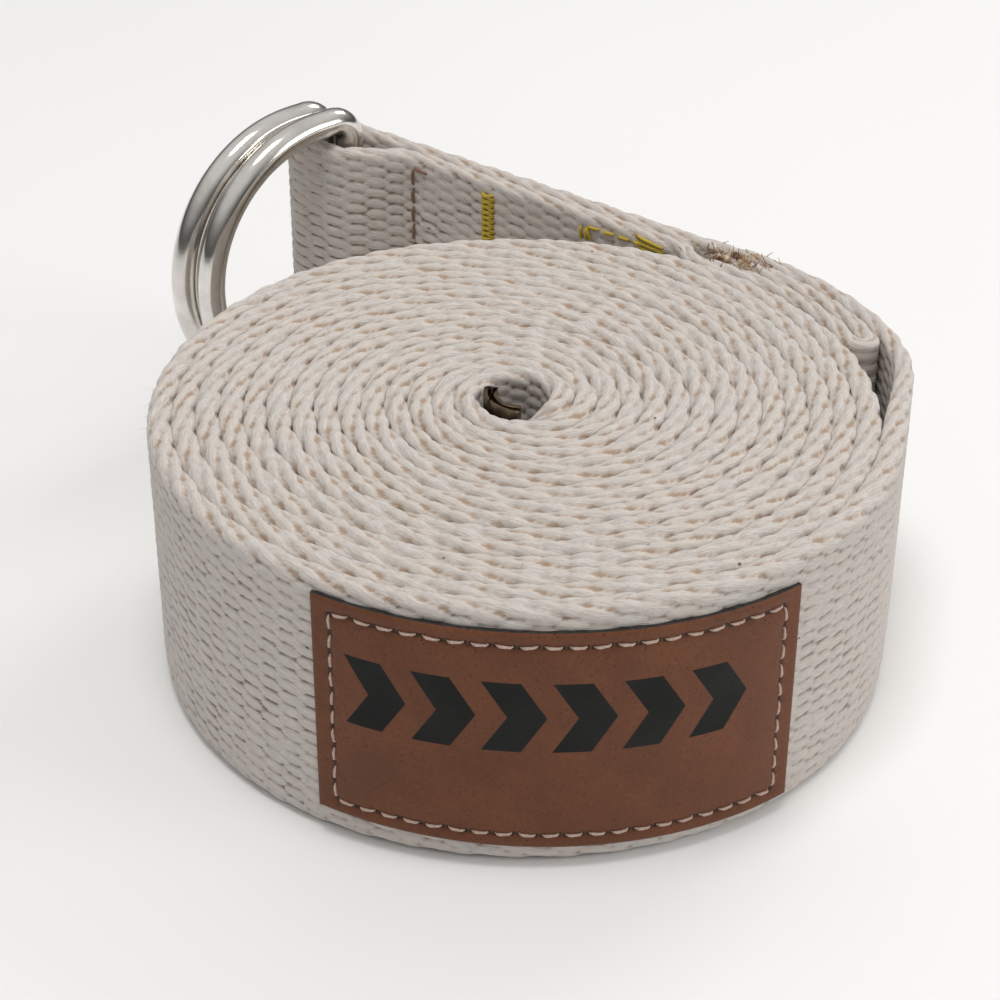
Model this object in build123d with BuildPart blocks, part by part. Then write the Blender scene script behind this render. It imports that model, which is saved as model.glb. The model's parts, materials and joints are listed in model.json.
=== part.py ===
"""Cotton stretching strap, rolled up, with its two D-rings, leather patch and crimped end.

Units are millimetres and degrees, +Z is up, and the roll stands on its edge-on base at Z = 0.
The origin lies under the middle of the whole outline, and the roll's own axis is at roll_x, roll_y.
"""

from build123d import *

import os
from math import asin, atan, cos, degrees, pi, radians, sin, sqrt

os.makedirs("parts", exist_ok=True)

# Webbing, and how it is rolled
webbing_width = 38.0
webbing_thickness = 2.7
turn_gap = 0.42
core_radius = 4.775
half_turns = 28
release_angle = -14.0
roll_x = -0.49
roll_y = -16.09

# Crimped metal end in the middle of the roll
clamp_sheet = 0.6
clamp_grip = 1.2
clamp_sweep = 100.0
clamp_edge_margin = 0.5

# Free tail: it leaves the roll, bends round it and runs straight to the rings
hinge_gap = 1.0
release_bend_radius = 26.0
release_bend = 29.0
tail_heading = 148.5
tail_standoff = 0.95
fold_drop = 0.4
tail_run = 69.0
layer_gap = 0.1
raw_end_margin = 2.0
fold_step_run = 7.0

# Loop round the ring bars
loop_slack = 0.9
loop_pinch = 35.0
loop_return_radius = 6.0

# D-rings
ring_wire = 4.4
ring_side_clearance = 0.75
ring_corner_radius = 3.6
ring_arm = 6.5
ring_gap = 0.38
ring_heading = 221.6

# Leather patch
patch_length = 63.5
patch_thickness = 1.1
patch_angle = -86.0
patch_foot = 3.2
patch_head = 2.8
patch_tilt = 2.0
patch_gap = 0.06
seat_gap = 0.02

# Sewing thread
thread = 0.6
thread_proud = 0.4
bobbin_proud = 0.3
patch_stitch_pitch = 2.9
patch_stitch_length = 2.2
patch_stitch_inset = 2.7
tack_setback = 1.0
tack_pitch = 3.2
tack_stitch_length = 2.7
tack_return = 3.0
seam_edge_margin = 3.2
bartack_setback = 12.5
bartack_width = 2.7
bartack_pitch = 0.9
box_setback = 1.0
box_length = 13.0
box_edge_margin = 4.0
box_pitch = 2.6
box_stitch_length = 2.2

# Sizes that follow the webbing's width
clamp_height = webbing_width - 2 * clamp_edge_margin
ring_inner_height = webbing_width + 2 * ring_side_clearance
patch_height = webbing_width - patch_foot - patch_head
box_height = webbing_width - 2 * box_edge_margin
seam_height = webbing_width - 2 * seam_edge_margin

# Worked-out sizes of the roll
turn_pitch = webbing_thickness + turn_gap
layer_pitch = webbing_thickness + layer_gap
centre_shift = turn_pitch / 4
half_turn_radii = [core_radius + step * turn_pitch / 2 for step in range(half_turns + 1)]
release_radius = half_turn_radii[-1] + centre_shift
release_direction = Vector(cos(radians(release_angle)), sin(radians(release_angle)))
core_side = 1 if half_turns % 2 == 0 else -1
front_centre = release_direction * centre_shift
core_centre = front_centre * core_side
core_direction = release_direction * core_side
front_radius = half_turn_radii[-1] + webbing_thickness / 2

# Worked-out line of the tail
tail_along = Vector(cos(radians(tail_heading)), sin(radians(tail_heading)))
tail_outward = Vector(sin(radians(tail_heading)), -cos(radians(tail_heading)))
under_turn_radius = release_radius - turn_pitch + webbing_thickness / 2
tail_distance = under_turn_radius + tail_standoff + 2 * layer_pitch + webbing_thickness / 2


def walk(start, heading, steps):
    """Return the end point and heading of a middle line made of (length, turn) steps."""
    point = Vector(*start)
    for length, turn in steps:
        if turn:
            radius = length / radians(turn)
            centre = point + Vector(-sin(radians(heading)), cos(radians(heading))) * radius
            heading += turn
            point = centre + Vector(sin(radians(heading)), -cos(radians(heading))) * radius
        else:
            point += Vector(cos(radians(heading)), sin(radians(heading))) * length
    return point, heading


def draw_band(start, heading, steps, thickness):
    """Draw the closed outline of a band of even thickness along (length, turn) steps."""
    corners = []
    for shift in (thickness / 2, -thickness / 2):
        direction = heading
        sideways = Vector(sin(radians(heading)), -cos(radians(heading)))
        point = Vector(*start) + sideways * shift
        corners.append(point)
        for length, turn in steps:
            forward = (cos(radians(direction)), sin(radians(direction)))
            if turn:
                side = shift if turn > 0 else -shift
                edge = JernArc(point, forward, length / radians(abs(turn)) + side, turn)
            else:
                edge = Line(point, point + Vector(*forward) * length)
            point = edge @ 1
            direction += turn
        corners.append(point)
    Line(corners[0], corners[2])
    Line(corners[1], corners[3])


def arc_step(radius, turn):
    """Return the (length, turn) step of an arc of a given middle radius."""
    return radius * radians(abs(turn)), turn


# The tail's line: a straight release, a short bend out to the fold, a long bend round the roll
release_point = release_direction * release_radius
release_heading = release_angle + 90
fold_heading = release_heading + release_bend
bend_reach = walk(release_point, release_heading, [arc_step(release_bend_radius, release_bend)])[0]
release_forward = Vector(cos(radians(release_heading)), sin(radians(release_heading)))
fold_distance = tail_distance - fold_drop
half_term = bend_reach.dot(release_forward)
release_run = sqrt(half_term**2 - bend_reach.dot(bend_reach) + fold_distance**2) - half_term
release_steps = [(release_run, 0), arc_step(release_bend_radius, release_bend)]
fold_point = walk(release_point, release_heading, release_steps)[0]
round_bend = tail_heading - fold_heading
round_radius = (tail_distance - fold_point.dot(tail_outward)) / (1 - cos(radians(round_bend)))
release_steps.append(arc_step(round_radius, round_bend))
ramp_point = walk(release_point, release_heading, release_steps)[0]

# The loop, the ring bars and the slope that lifts the strap to the middle of the rings
bend_radius = ring_wire / 2 + loop_slack + webbing_thickness / 2
ring_turn = ring_heading - tail_heading
bar_spacing = (ring_wire + ring_gap) / sin(radians(ring_turn))
back_bar_run = tail_run
front_bar_run = tail_run - bar_spacing
ring_centre_height = ring_wire + ring_inner_height / 2
lift = ring_centre_height - webbing_width / 2
ramp_angle = degrees(asin(lift / (tail_run - bar_spacing / 2)))
pinch_share = 1 - cos(radians(loop_pinch))
pinch_rise = 2 * bend_radius - layer_pitch - (bend_radius + loop_return_radius) * pinch_share
pinch_run = pinch_rise / sin(radians(loop_pinch))
meet_place = (
    front_bar_run
    - (bend_radius + loop_return_radius) * sin(radians(loop_pinch))
    - pinch_run * cos(radians(loop_pinch))
)
step_turn = 2 * degrees(atan(layer_pitch / fold_step_run))
step_radius = fold_step_run / (2 * sin(radians(step_turn)))

# Work planes
ground = Plane(origin=(roll_x, roll_y, 0))
along_ramp = tail_along * cos(radians(ramp_angle)) + Vector(0, 0, sin(radians(ramp_angle)))
ramp_origin = Vector(roll_x, roll_y, 0) + ramp_point
ramp = Plane(origin=ramp_origin, x_dir=along_ramp, z_dir=along_ramp.cross(tail_outward) * -1)


# Rolled webbing: half turns about two centres, each wider than the last, and a crimped inner end
core_start = core_centre - core_direction * core_radius
core_heading = release_angle + 180 + 90 * core_side
crimp_steps = [arc_step(core_radius, clamp_sweep)]
coil_start, coil_heading = walk(core_start, core_heading, crimp_steps)
coil_steps = [arc_step(core_radius, 180 - clamp_sweep)]
for half_turn_radius in half_turn_radii[1:]:
    coil_steps.append(arc_step(half_turn_radius, 180))

with BuildPart() as webbing_coil:
    with BuildSketch(ground):
        with BuildLine():
            draw_band(coil_start, coil_heading, coil_steps, webbing_thickness)
        make_face()
        with BuildLine():
            draw_band(core_start, core_heading, crimp_steps, clamp_grip)
        make_face()
    extrude(amount=webbing_width)

webbing_coil.part.label = "webbing_coil"
export_step(webbing_coil.part, "parts/webbing_coil.step")


# Crimped end: a folded sheet whose two cheeks grip the thinned end of the webbing
clamp_cheek = clamp_grip / 2 + seat_gap + clamp_sheet / 2
clamp_wrap = degrees((clamp_sheet + seat_gap) / core_radius)
clamp_cover = clamp_sweep - clamp_wrap

with BuildPart() as end_clamp:
    with BuildSketch(ground.offset((webbing_width - clamp_height) / 2)):
        for cheek_radius in (core_radius - clamp_cheek, core_radius + clamp_cheek):
            cheek_start = core_centre - core_direction * cheek_radius
            cheek_steps = [arc_step(cheek_radius, clamp_cover)]
            with BuildLine():
                draw_band(cheek_start, core_heading, cheek_steps, clamp_sheet)
            make_face()
        fold_start = core_start - Vector(cos(radians(core_heading)), sin(radians(core_heading))) * (
            clamp_sheet + seat_gap
        )
        with BuildLine():
            draw_band(
                fold_start,
                core_heading,
                [(clamp_sheet, 0)],
                2 * clamp_cheek + clamp_sheet,
            )
        make_face()
    extrude(amount=clamp_height)
    with BuildSketch(ground.offset((webbing_width - clamp_height) / 2)):
        for cheek_radius in (core_radius - clamp_cheek, core_radius + clamp_cheek):
            cheek_end = core_centre - core_direction * cheek_radius
            backward = Vector(cos(radians(core_heading)), sin(radians(core_heading)))
            with BuildLine():
                draw_band(
                    cheek_end - backward * (seat_gap + clamp_sheet / 2),
                    core_heading,
                    [(seat_gap + clamp_sheet / 2, 0)],
                    clamp_sheet,
                )
            make_face()
    extrude(amount=clamp_height)

end_clamp.part.label = "end_clamp"
export_step(end_clamp.part, "parts/end_clamp.step")


# Tail webbing: the layer that leaves the roll, the loop, and the return layer with its folded hem
tail_start = walk(release_point, release_heading, [(hinge_gap, 0)])[0]
outer_steps = [(release_run - hinge_gap, 0)] + release_steps[1:]
loop_steps = [
    (tail_run, 0),
    arc_step(bend_radius, 180),
    (bar_spacing, 0),
    arc_step(bend_radius, loop_pinch),
    (pinch_run, 0),
    arc_step(loop_return_radius, -loop_pinch),
    (meet_place - fold_step_run, 0),
    arc_step(step_radius, -step_turn),
    arc_step(step_radius, step_turn),
]
hem_start = ramp_point - tail_outward * 2 * layer_pitch
hem_radius = round_radius - 2 * layer_pitch
tuck_radius = round_radius - layer_pitch
raw_end_turn = round_bend - degrees(raw_end_margin / tuck_radius)
hem_steps = [
    arc_step(hem_radius, -round_bend),
    arc_step(layer_pitch / 2, 180),
    arc_step(tuck_radius, raw_end_turn),
]

with BuildPart() as webbing_tail:
    with BuildSketch(ground):
        with BuildLine():
            draw_band(tail_start, release_heading, outer_steps, webbing_thickness)
        make_face()
        with BuildLine():
            draw_band(hem_start, tail_heading + 180, hem_steps, webbing_thickness)
        make_face()
    extrude(amount=webbing_width)
    with BuildSketch(ramp):
        with BuildLine():
            draw_band((0, 0), 0, loop_steps, webbing_thickness)
        make_face()
    extrude(amount=webbing_width, dir=(0, 0, 1))

webbing_tail.part.label = "webbing_tail"
export_step(webbing_tail.part, "parts/webbing_tail.step")


def ring_outline():
    """Draw the closed middle line of a D-ring, with its straight bar on the local Y axis."""
    half = (ring_inner_height + ring_wire) / 2
    corner = ring_corner_radius
    bar = Line((0, corner - half), (0, half - corner))
    top_corner = JernArc(bar @ 1, (0, 1), corner, -90)
    top_arm = Line(top_corner @ 1, (ring_arm, half))
    bow = JernArc(top_arm @ 1, (1, 0), half, -180)
    low_arm = Line(bow @ 1, (corner, -half))
    JernArc(low_arm @ 1, (-1, 0), corner, -90)


# D-rings: bent and welded wire, one bar behind the other in the loop
ring_forward = Vector(cos(radians(ring_heading)), sin(radians(ring_heading)))
ring_sideways = Vector(sin(radians(ring_heading)), -cos(radians(ring_heading)))

for ring_name, bar_run in (("ring_front", front_bar_run), ("ring_back", back_bar_run)):
    bar_line = ramp_point - tail_outward * bend_radius
    bar_foot = bar_line + tail_along * bar_run * cos(radians(ramp_angle))
    bar_place = Vector(roll_x, roll_y, ring_centre_height) + bar_foot
    ring_plane = Plane(origin=bar_place, x_dir=ring_forward, z_dir=ring_sideways)
    with BuildPart(ring_plane) as ring:
        with BuildLine(ring_plane):
            ring_outline()
        with BuildSketch(Plane(origin=bar_place, x_dir=ring_forward, z_dir=(0, 0, 1))):
            Circle(ring_wire / 2)
        sweep()
    ring.part.label = ring_name
    export_step(ring.part, f"parts/{ring_name}.step")
    print(ring_name, "bar", tuple(round(c, 3) for c in bar_place), "volume", round(ring.part.volume, 1))


# Leather patch: bent round the front of the roll and sewn on a little askew
patch_tangent = Vector(-sin(radians(patch_angle)), cos(radians(patch_angle)))


def patch_level(height):
    """Return the tilted plane across the roll's front at a height above the patch's lower edge."""
    centre = ground.from_local_coords(front_centre)
    rising = Vector(0, 0, cos(radians(patch_tilt))) + patch_tangent * sin(radians(patch_tilt))
    falling = patch_tangent * cos(radians(patch_tilt)) - Vector(0, 0, sin(radians(patch_tilt)))
    return Plane(origin=centre + Vector(0, 0, patch_foot + height), x_dir=falling, z_dir=rising)


patch_seat = front_radius + patch_gap
patch_face = patch_seat + patch_thickness
patch_sweep = degrees(patch_length / patch_face)


def wrap_band(middle_angle, sweep_angle, inner_radius, thickness):
    """Draw a band bent round the roll's front, with its middle at an angle from the patch's."""
    first = radians(middle_angle - sweep_angle / 2 - 90)
    radius = inner_radius + thickness / 2
    start = Vector(cos(first), sin(first)) * radius
    draw_band(start, middle_angle - sweep_angle / 2, [arc_step(radius, sweep_angle)], thickness)


with BuildPart() as leather_patch:
    with BuildSketch(patch_level(0)):
        with BuildLine():
            wrap_band(0, patch_sweep, patch_seat, patch_thickness)
        make_face()
    extrude(amount=patch_height, dir=(0, 0, 1))
    fillet(leather_patch.edges().filter_by(Axis.Z), radius=patch_thickness / 3)

leather_patch.part.label = "leather_patch"
export_step(leather_patch.part, "parts/leather_patch.step")


# Patch stitching: a closed line of short stitches on the leather, and its twin behind the webbing
row_length = patch_length - 2 * patch_stitch_inset
row_count = round(row_length / patch_stitch_pitch)
column_height = patch_height - 2 * patch_stitch_inset
column_count = round(column_height / patch_stitch_pitch)
back_face = front_radius - webbing_thickness - seat_gap - bobbin_proud

for stitching_name, stitch_radius, proud in (
    ("patch_needle_thread", patch_face + seat_gap, thread_proud),
    ("patch_bobbin_thread", back_face, bobbin_proud),
):
    with BuildPart() as stitching:
        row_step = degrees(row_length / row_count / patch_face)
        stitch_sweep = degrees(patch_stitch_length / patch_face)
        thread_sweep = degrees(thread / patch_face)
        for row_height in (patch_stitch_inset, patch_height - patch_stitch_inset):
            with BuildSketch(patch_level(row_height - thread / 2)):
                for index in range(row_count):
                    angle = (index + 0.5 - row_count / 2) * row_step
                    with BuildLine():
                        wrap_band(angle, stitch_sweep, stitch_radius, proud)
                    make_face()
            extrude(amount=thread, dir=(0, 0, 1))
        column_step = column_height / column_count
        for index in range(column_count):
            stitch_foot = patch_stitch_inset + (index + 0.5) * column_step - patch_stitch_length / 2
            with BuildSketch(patch_level(stitch_foot)):
                for side in (-1, 1):
                    with BuildLine():
                        wrap_band(side * row_count * row_step / 2, thread_sweep, stitch_radius, proud)
                    make_face()
            extrude(amount=patch_stitch_length, dir=(0, 0, 1))
    stitching.part.label = stitching_name
    export_step(stitching.part, f"parts/{stitching_name}.step")


# Faces of the tail that the seams are sewn on: the return layer's, and the strap's outer face
mid_ramp = Vector(0, 0, webbing_width / 2)
return_face = Plane(
    origin=ramp_origin + mid_ramp - tail_outward * (layer_pitch + webbing_thickness / 2 + seat_gap),
    x_dir=along_ramp * -1,
    z_dir=tail_outward * -1,
)
outer_face = Plane(
    origin=ramp_origin + mid_ramp + tail_outward * (webbing_thickness / 2 + seat_gap),
    x_dir=along_ramp,
    z_dir=tail_outward,
)
seam_faces = (("needle_thread", return_face, -1, thread_proud), ("bobbin_thread", outer_face, 1, bobbin_proud))

# Tack across the loop's mouth, with a short turn back at its top
tack_place = meet_place - tack_setback
tack_count = round(seam_height / tack_pitch)

for side_name, face, hand, proud in seam_faces:
    with BuildPart() as tack:
        with BuildSketch(face):
            with Locations((hand * tack_place, 0)):
                with GridLocations(0, tack_pitch, 1, tack_count):
                    Rectangle(thread, tack_stitch_length)
            with Locations((hand * (tack_place - tack_return / 2), tack_count * tack_pitch / 2)):
                Rectangle(tack_return, thread)
        extrude(amount=proud)
    tack.part.label = f"tack_{side_name}"
    export_step(tack.part, f"parts/tack_{side_name}.step")

# Bartack: a close column of crosswise stitches
bartack_place = tack_place - bartack_setback
bartack_count = round(seam_height / bartack_pitch)

for side_name, face, hand, proud in seam_faces:
    with BuildPart() as bartack:
        with BuildSketch(face):
            with Locations((hand * bartack_place, 0)):
                with GridLocations(0, bartack_pitch, 1, bartack_count):
                    Rectangle(bartack_width, thread)
        extrude(amount=proud)
    bartack.part.label = f"bartack_{side_name}"
    export_step(bartack.part, f"parts/bartack_{side_name}.step")

# Box stitch: four sides and a cross, sewn through both layers
box_middle = fold_step_run + box_setback + box_length / 2
diagonal = sqrt(box_length**2 + box_height**2)
lean = degrees(atan(box_height / box_length))

for side_name, face, hand, proud in seam_faces:
    with BuildPart() as box_seam:
        with BuildSketch(face):
            with Locations((hand * box_middle, 0)):
                with GridLocations(box_length, box_pitch, 2, int(box_height / box_pitch)):
                    Rectangle(thread, box_stitch_length)
                with GridLocations(box_pitch, box_height, int(box_length / box_pitch), 2):
                    Rectangle(box_stitch_length, thread)
                for turn in (lean, -lean):
                    with Locations(Location((0, 0, 0), (0, 0, turn))):
                        with GridLocations(box_pitch, 0, int(diagonal / box_pitch) - 1, 1):
                            Rectangle(box_stitch_length, thread)
        extrude(amount=proud)
    box_seam.part.label = f"box_{side_name}"
    export_step(box_seam.part, f"parts/box_{side_name}.step")

print("release point", tuple(round(c, 3) for c in release_point + Vector(roll_x, roll_y)))
print("ramp origin", tuple(round(c, 3) for c in ramp_origin), "slope", round(ramp_angle, 3))
print("tail distance", round(tail_distance, 3), "front radius", round(front_radius, 3))
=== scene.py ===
"""Rolled cotton stretching strap with two D-rings: the finished look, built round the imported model.

Sizes are in millimetres and degrees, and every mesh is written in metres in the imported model's own frame.
"""

import json
import logging
from dataclasses import dataclass, field
from enum import Enum
from math import asin, atan, atan2, cos, degrees, pi, radians, sin, sqrt

import bmesh
import bpy
import numpy as np
from mathutils import Matrix, Vector


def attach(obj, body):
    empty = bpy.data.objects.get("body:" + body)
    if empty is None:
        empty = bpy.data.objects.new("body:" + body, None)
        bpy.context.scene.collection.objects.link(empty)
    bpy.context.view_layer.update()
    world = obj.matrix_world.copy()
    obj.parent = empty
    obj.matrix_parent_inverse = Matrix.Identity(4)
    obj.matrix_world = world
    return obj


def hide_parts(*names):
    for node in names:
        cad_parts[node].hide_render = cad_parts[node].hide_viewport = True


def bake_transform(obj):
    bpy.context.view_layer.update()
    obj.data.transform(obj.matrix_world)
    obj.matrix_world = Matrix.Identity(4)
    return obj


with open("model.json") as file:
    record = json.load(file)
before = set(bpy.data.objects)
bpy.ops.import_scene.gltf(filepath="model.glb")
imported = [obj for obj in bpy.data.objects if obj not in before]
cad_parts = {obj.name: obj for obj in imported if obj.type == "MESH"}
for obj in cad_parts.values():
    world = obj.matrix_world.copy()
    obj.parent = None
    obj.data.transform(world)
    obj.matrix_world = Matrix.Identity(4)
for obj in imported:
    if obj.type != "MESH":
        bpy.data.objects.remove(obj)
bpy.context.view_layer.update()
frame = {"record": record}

logging.basicConfig(level=logging.INFO, format="%(message)s")
log = logging.getLogger("strap")

MM = 0.001
TINY = 1e-6
UP = np.array([0.0, 0.0, 1.0])
Triple = tuple[float, float, float]
Colour = Triple
Spot = tuple[float, float]
Socket = bpy.types.NodeSocket
Mesh = bmesh.types.BMesh
Edges = list[bmesh.types.BMEdge]


class Body(Enum):
    """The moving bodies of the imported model."""

    ROLL = "roll"
    TAIL = "tail"
    FRONT_RING = "front_ring"
    BACK_RING = "back_ring"


class Slot(Enum):
    """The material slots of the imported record."""

    WEBBING = "webbing"
    LEATHER = "leather"
    CLAMP = "clamp_metal"
    RING = "ring_metal"
    CREAM = "cream_thread"
    BROWN = "brown_thread"
    YELLOW = "yellow_thread"


class Side(Enum):
    """The two sides of a seam."""

    NEEDLE = "needle"
    BOBBIN = "bobbin"


# ---------------------------------------------------------------- finishes


class Shading:
    """A node material under construction, with one Principled shader."""

    def __init__(self, name: str, roughness: float, metallic: float = 0.0, sheen: float = 0.0) -> None:
        """Start a material.

        Args:
            name: The material's name.
            roughness: Roughness where no node drives it.
            metallic: 1 for bare metal, 0 otherwise.
            sheen: Strength of the soft fuzz at grazing angles.
        """
        self.material = bpy.data.materials.new(name)
        self.material.use_nodes = True
        self.nodes = self.material.node_tree.nodes
        self.links = self.material.node_tree.links
        self.shader = self.nodes["Principled BSDF"]
        self.shader.inputs["Roughness"].default_value = roughness
        self.shader.inputs["Metallic"].default_value = metallic
        self.shader.inputs["Sheen Weight"].default_value = sheen
        self.shader.inputs["Sheen Roughness"].default_value = 0.6

    def feed(self, socket: Socket, value: object) -> None:
        """Set a socket to a constant, or link another node's output to it."""
        if isinstance(value, Socket):
            self.links.new(value, socket)
        elif isinstance(value, tuple) and len(value) == 3 and socket.type == "RGBA":
            socket.default_value = (*value, 1.0)
        else:
            socket.default_value = value

    def math(self, operation: str, first: object, second: object = 0.0) -> Socket:
        """Return the output of a Math node."""
        node = self.nodes.new("ShaderNodeMath")
        node.operation = operation
        self.feed(node.inputs[0], first)
        self.feed(node.inputs[1], second)
        return node.outputs[0]

    def scaled(self, vector: Socket, scale: Triple, turn: float = 0.0) -> Socket:
        """Return a vector turned about Z by degrees and then scaled on each axis."""
        if turn:
            spin = self.nodes.new("ShaderNodeVectorRotate")
            spin.rotation_type = "Z_AXIS"
            self.feed(spin.inputs["Vector"], vector)
            spin.inputs["Angle"].default_value = radians(turn)
            vector = spin.outputs[0]
        node = self.nodes.new("ShaderNodeVectorMath")
        node.operation = "MULTIPLY"
        self.feed(node.inputs[0], vector)
        node.inputs[1].default_value = scale
        return node.outputs[0]

    def noise(self, vector: Socket, scale: float, detail: float = 2.0, roughness: float = 0.5) -> Socket:
        """Return the factor of a Noise texture."""
        node = self.nodes.new("ShaderNodeTexNoise")
        self.feed(node.inputs["Vector"], vector)
        node.inputs["Scale"].default_value = scale
        node.inputs["Detail"].default_value = detail
        node.inputs["Roughness"].default_value = roughness
        return node.outputs[0]

    def cells(self, vector: Socket, scale: float) -> Socket:
        """Return the distance output of a Voronoi texture."""
        node = self.nodes.new("ShaderNodeTexVoronoi")
        self.feed(node.inputs["Vector"], vector)
        node.inputs["Scale"].default_value = scale
        return node.outputs["Distance"]

    def ramp(
        self, value: Socket, low: float, high: float, start: float = 0.0, end: float = 1.0
    ) -> Socket:
        """Return a value eased from start to end while the input goes from low to high."""
        node = self.nodes.new("ShaderNodeMapRange")
        node.interpolation_type = "SMOOTHSTEP"
        self.feed(node.inputs["Value"], value)
        node.inputs["From Min"].default_value = low
        node.inputs["From Max"].default_value = high
        node.inputs["To Min"].default_value = start
        node.inputs["To Max"].default_value = end
        return node.outputs["Result"]

    def mix(self, factor: object, first: object, second: object) -> Socket:
        """Return a mix of two colours."""
        node = self.nodes.new("ShaderNodeMix")
        node.data_type = "RGBA"
        self.feed(node.inputs[0], factor)
        self.feed(node.inputs[6], first)
        self.feed(node.inputs[7], second)
        return node.outputs[2]

    def attribute(self, name: str) -> tuple[Socket, list[Socket]]:
        """Return a mesh attribute as a vector and as its three parts."""
        node = self.nodes.new("ShaderNodeAttribute")
        node.attribute_name = name
        parts = self.nodes.new("ShaderNodeSeparateXYZ")
        self.links.new(node.outputs["Vector"], parts.inputs[0])
        return node.outputs["Vector"], list(parts.outputs)

    def place(self) -> Socket:
        """Return the Object coordinates in millimetres."""
        node = self.nodes.new("ShaderNodeTexCoord")
        return self.scaled(node.outputs["Object"], (1 / MM, 1 / MM, 1 / MM))

    def colour(self, value: object) -> None:
        """Set the base colour."""
        self.feed(self.shader.inputs["Base Color"], value)

    def bump(self, height: Socket, depth: float, strength: float = 1.0) -> None:
        """Link a bump of a depth in millimetres to the shader's normal, on top of any bump before it."""
        node = self.nodes.new("ShaderNodeBump")
        node.inputs["Distance"].default_value = depth * MM
        node.inputs["Strength"].default_value = strength
        self.feed(node.inputs["Height"], height)
        normal = self.shader.inputs["Normal"]
        if normal.is_linked:
            self.links.new(normal.links[0].from_socket, node.inputs["Normal"])
        self.links.new(node.outputs[0], normal)


@dataclass(frozen=True)
class CottonFinish:
    """Undyed cotton webbing: cream strands, tan and dark hollows that are partly the fibres' own colour and
    partly painted shade, fine fibres and a few seed flecks.
    """

    strand: Colour = (0.745, 0.70, 0.66)
    shade: Colour = (0.54, 0.49, 0.455)
    tint: Colour = (0.70, 0.60, 0.51)
    # The slit and hollow colours are painted shade in the hollows between the floats; the tan of the hollow
    # colour is partly the fibres' own.
    slit_shade: Colour = (0.27, 0.195, 0.145)
    hollow: Colour = (0.44, 0.315, 0.225)
    scorch: Colour = (0.20, 0.09, 0.035)
    straw: Colour = (0.56, 0.42, 0.27)
    fleck: Colour = (0.06, 0.035, 0.02)
    fibre_scale: Triple = (0.55, 6.0, 1.0)
    fibre_turn: float = 12.0
    patch_scale: Triple = (0.16, 0.3, 1.0)
    fleck_scale: Triple = (0.5, 1.1, 1.0)
    fleck_pitch: float = 0.18
    fuzz_scale: Triple = (2.2, 3.4, 1.0)
    fuzz_turn: float = -20.0

    def material(self) -> bpy.types.Material:
        """Return the material, which reads the webbing's attributes for its strands, its rounded edges and
        its scorch, and paints shade into the hollows between the floats.
        """
        work = Shading("undyed_cotton", roughness=0.92, sheen=0.25)
        vector, (_, _, depth) = work.attribute("strand")
        _, (edge, scorch, _) = work.attribute("edge_and_scorch")
        flat = work.scaled(vector, (1.0, 1.0, 0.0))
        drawn = work.scaled(flat, self.fibre_scale, self.fibre_turn)
        fibres = work.noise(drawn, 1.0, detail=4.0, roughness=0.7)
        patches = work.noise(work.scaled(flat, self.patch_scale), 1.0, detail=3.0)
        base = work.mix(work.ramp(fibres, 0.32, 0.68), self.shade, self.strand)
        base = work.mix(work.ramp(patches, 0.35, 0.75, 0.0, 0.4), base, self.tint)
        # Painted shade: the deeper a point lies between the floats, the more it takes the dark slit colour
        # on the faces, and the tan hollow colour in patches on the rounded edges, which is partly the
        # fibres' own colour.
        gate = work.math("MULTIPLY", work.ramp(patches, 0.40, 0.56, 0.25, 1.0), edge)
        gate = work.math("ADD", gate, work.math("SUBTRACT", 1.0, edge))
        hollow_shade_and_spots = work.math("MULTIPLY", work.ramp(depth, 0.36, 0.92), gate)
        base = work.mix(hollow_shade_and_spots, base, work.mix(edge, self.slit_shade, self.hollow))
        seeds = work.cells(work.scaled(flat, self.fleck_scale), self.fleck_pitch)
        base = work.mix(work.ramp(seeds, 0.035, 0.02, 0.0, 0.9), base, self.fleck)
        base = work.mix(scorch, base, self.scorch)
        work.colour(base)
        work.bump(fibres, 0.16, 0.9)
        ruffled = work.scaled(flat, self.fuzz_scale, self.fuzz_turn)
        fuzz = work.noise(ruffled, 1.6, detail=3.0, roughness=0.7)
        work.bump(fuzz, 0.12, 0.6)
        return work.material

    def lint_material(self) -> bpy.types.Material:
        """Return the material of the loose fibres on the rolled edges."""
        work = Shading("cotton_lint", roughness=0.9, sheen=0.3)
        work.colour(work.mix(work.ramp(work.noise(work.place(), 0.6), 0.35, 0.65), self.shade, self.strand))
        return work.material

    def scorched_material(self) -> bpy.types.Material:
        """Return the material of the heat-cut raw end, from straw to burnt brown."""
        work = Shading("scorched_cotton", roughness=0.8, sheen=0.1)
        cloud = work.noise(work.place(), 0.55, detail=3.0)
        base = work.mix(work.ramp(cloud, 0.38, 0.52), self.scorch, self.straw)
        base = work.mix(work.ramp(cloud, 0.56, 0.64), base, self.strand)
        work.colour(base)
        work.bump(work.noise(work.place(), 4.0, detail=3.0), 0.08, 0.7)
        return work.material


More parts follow.
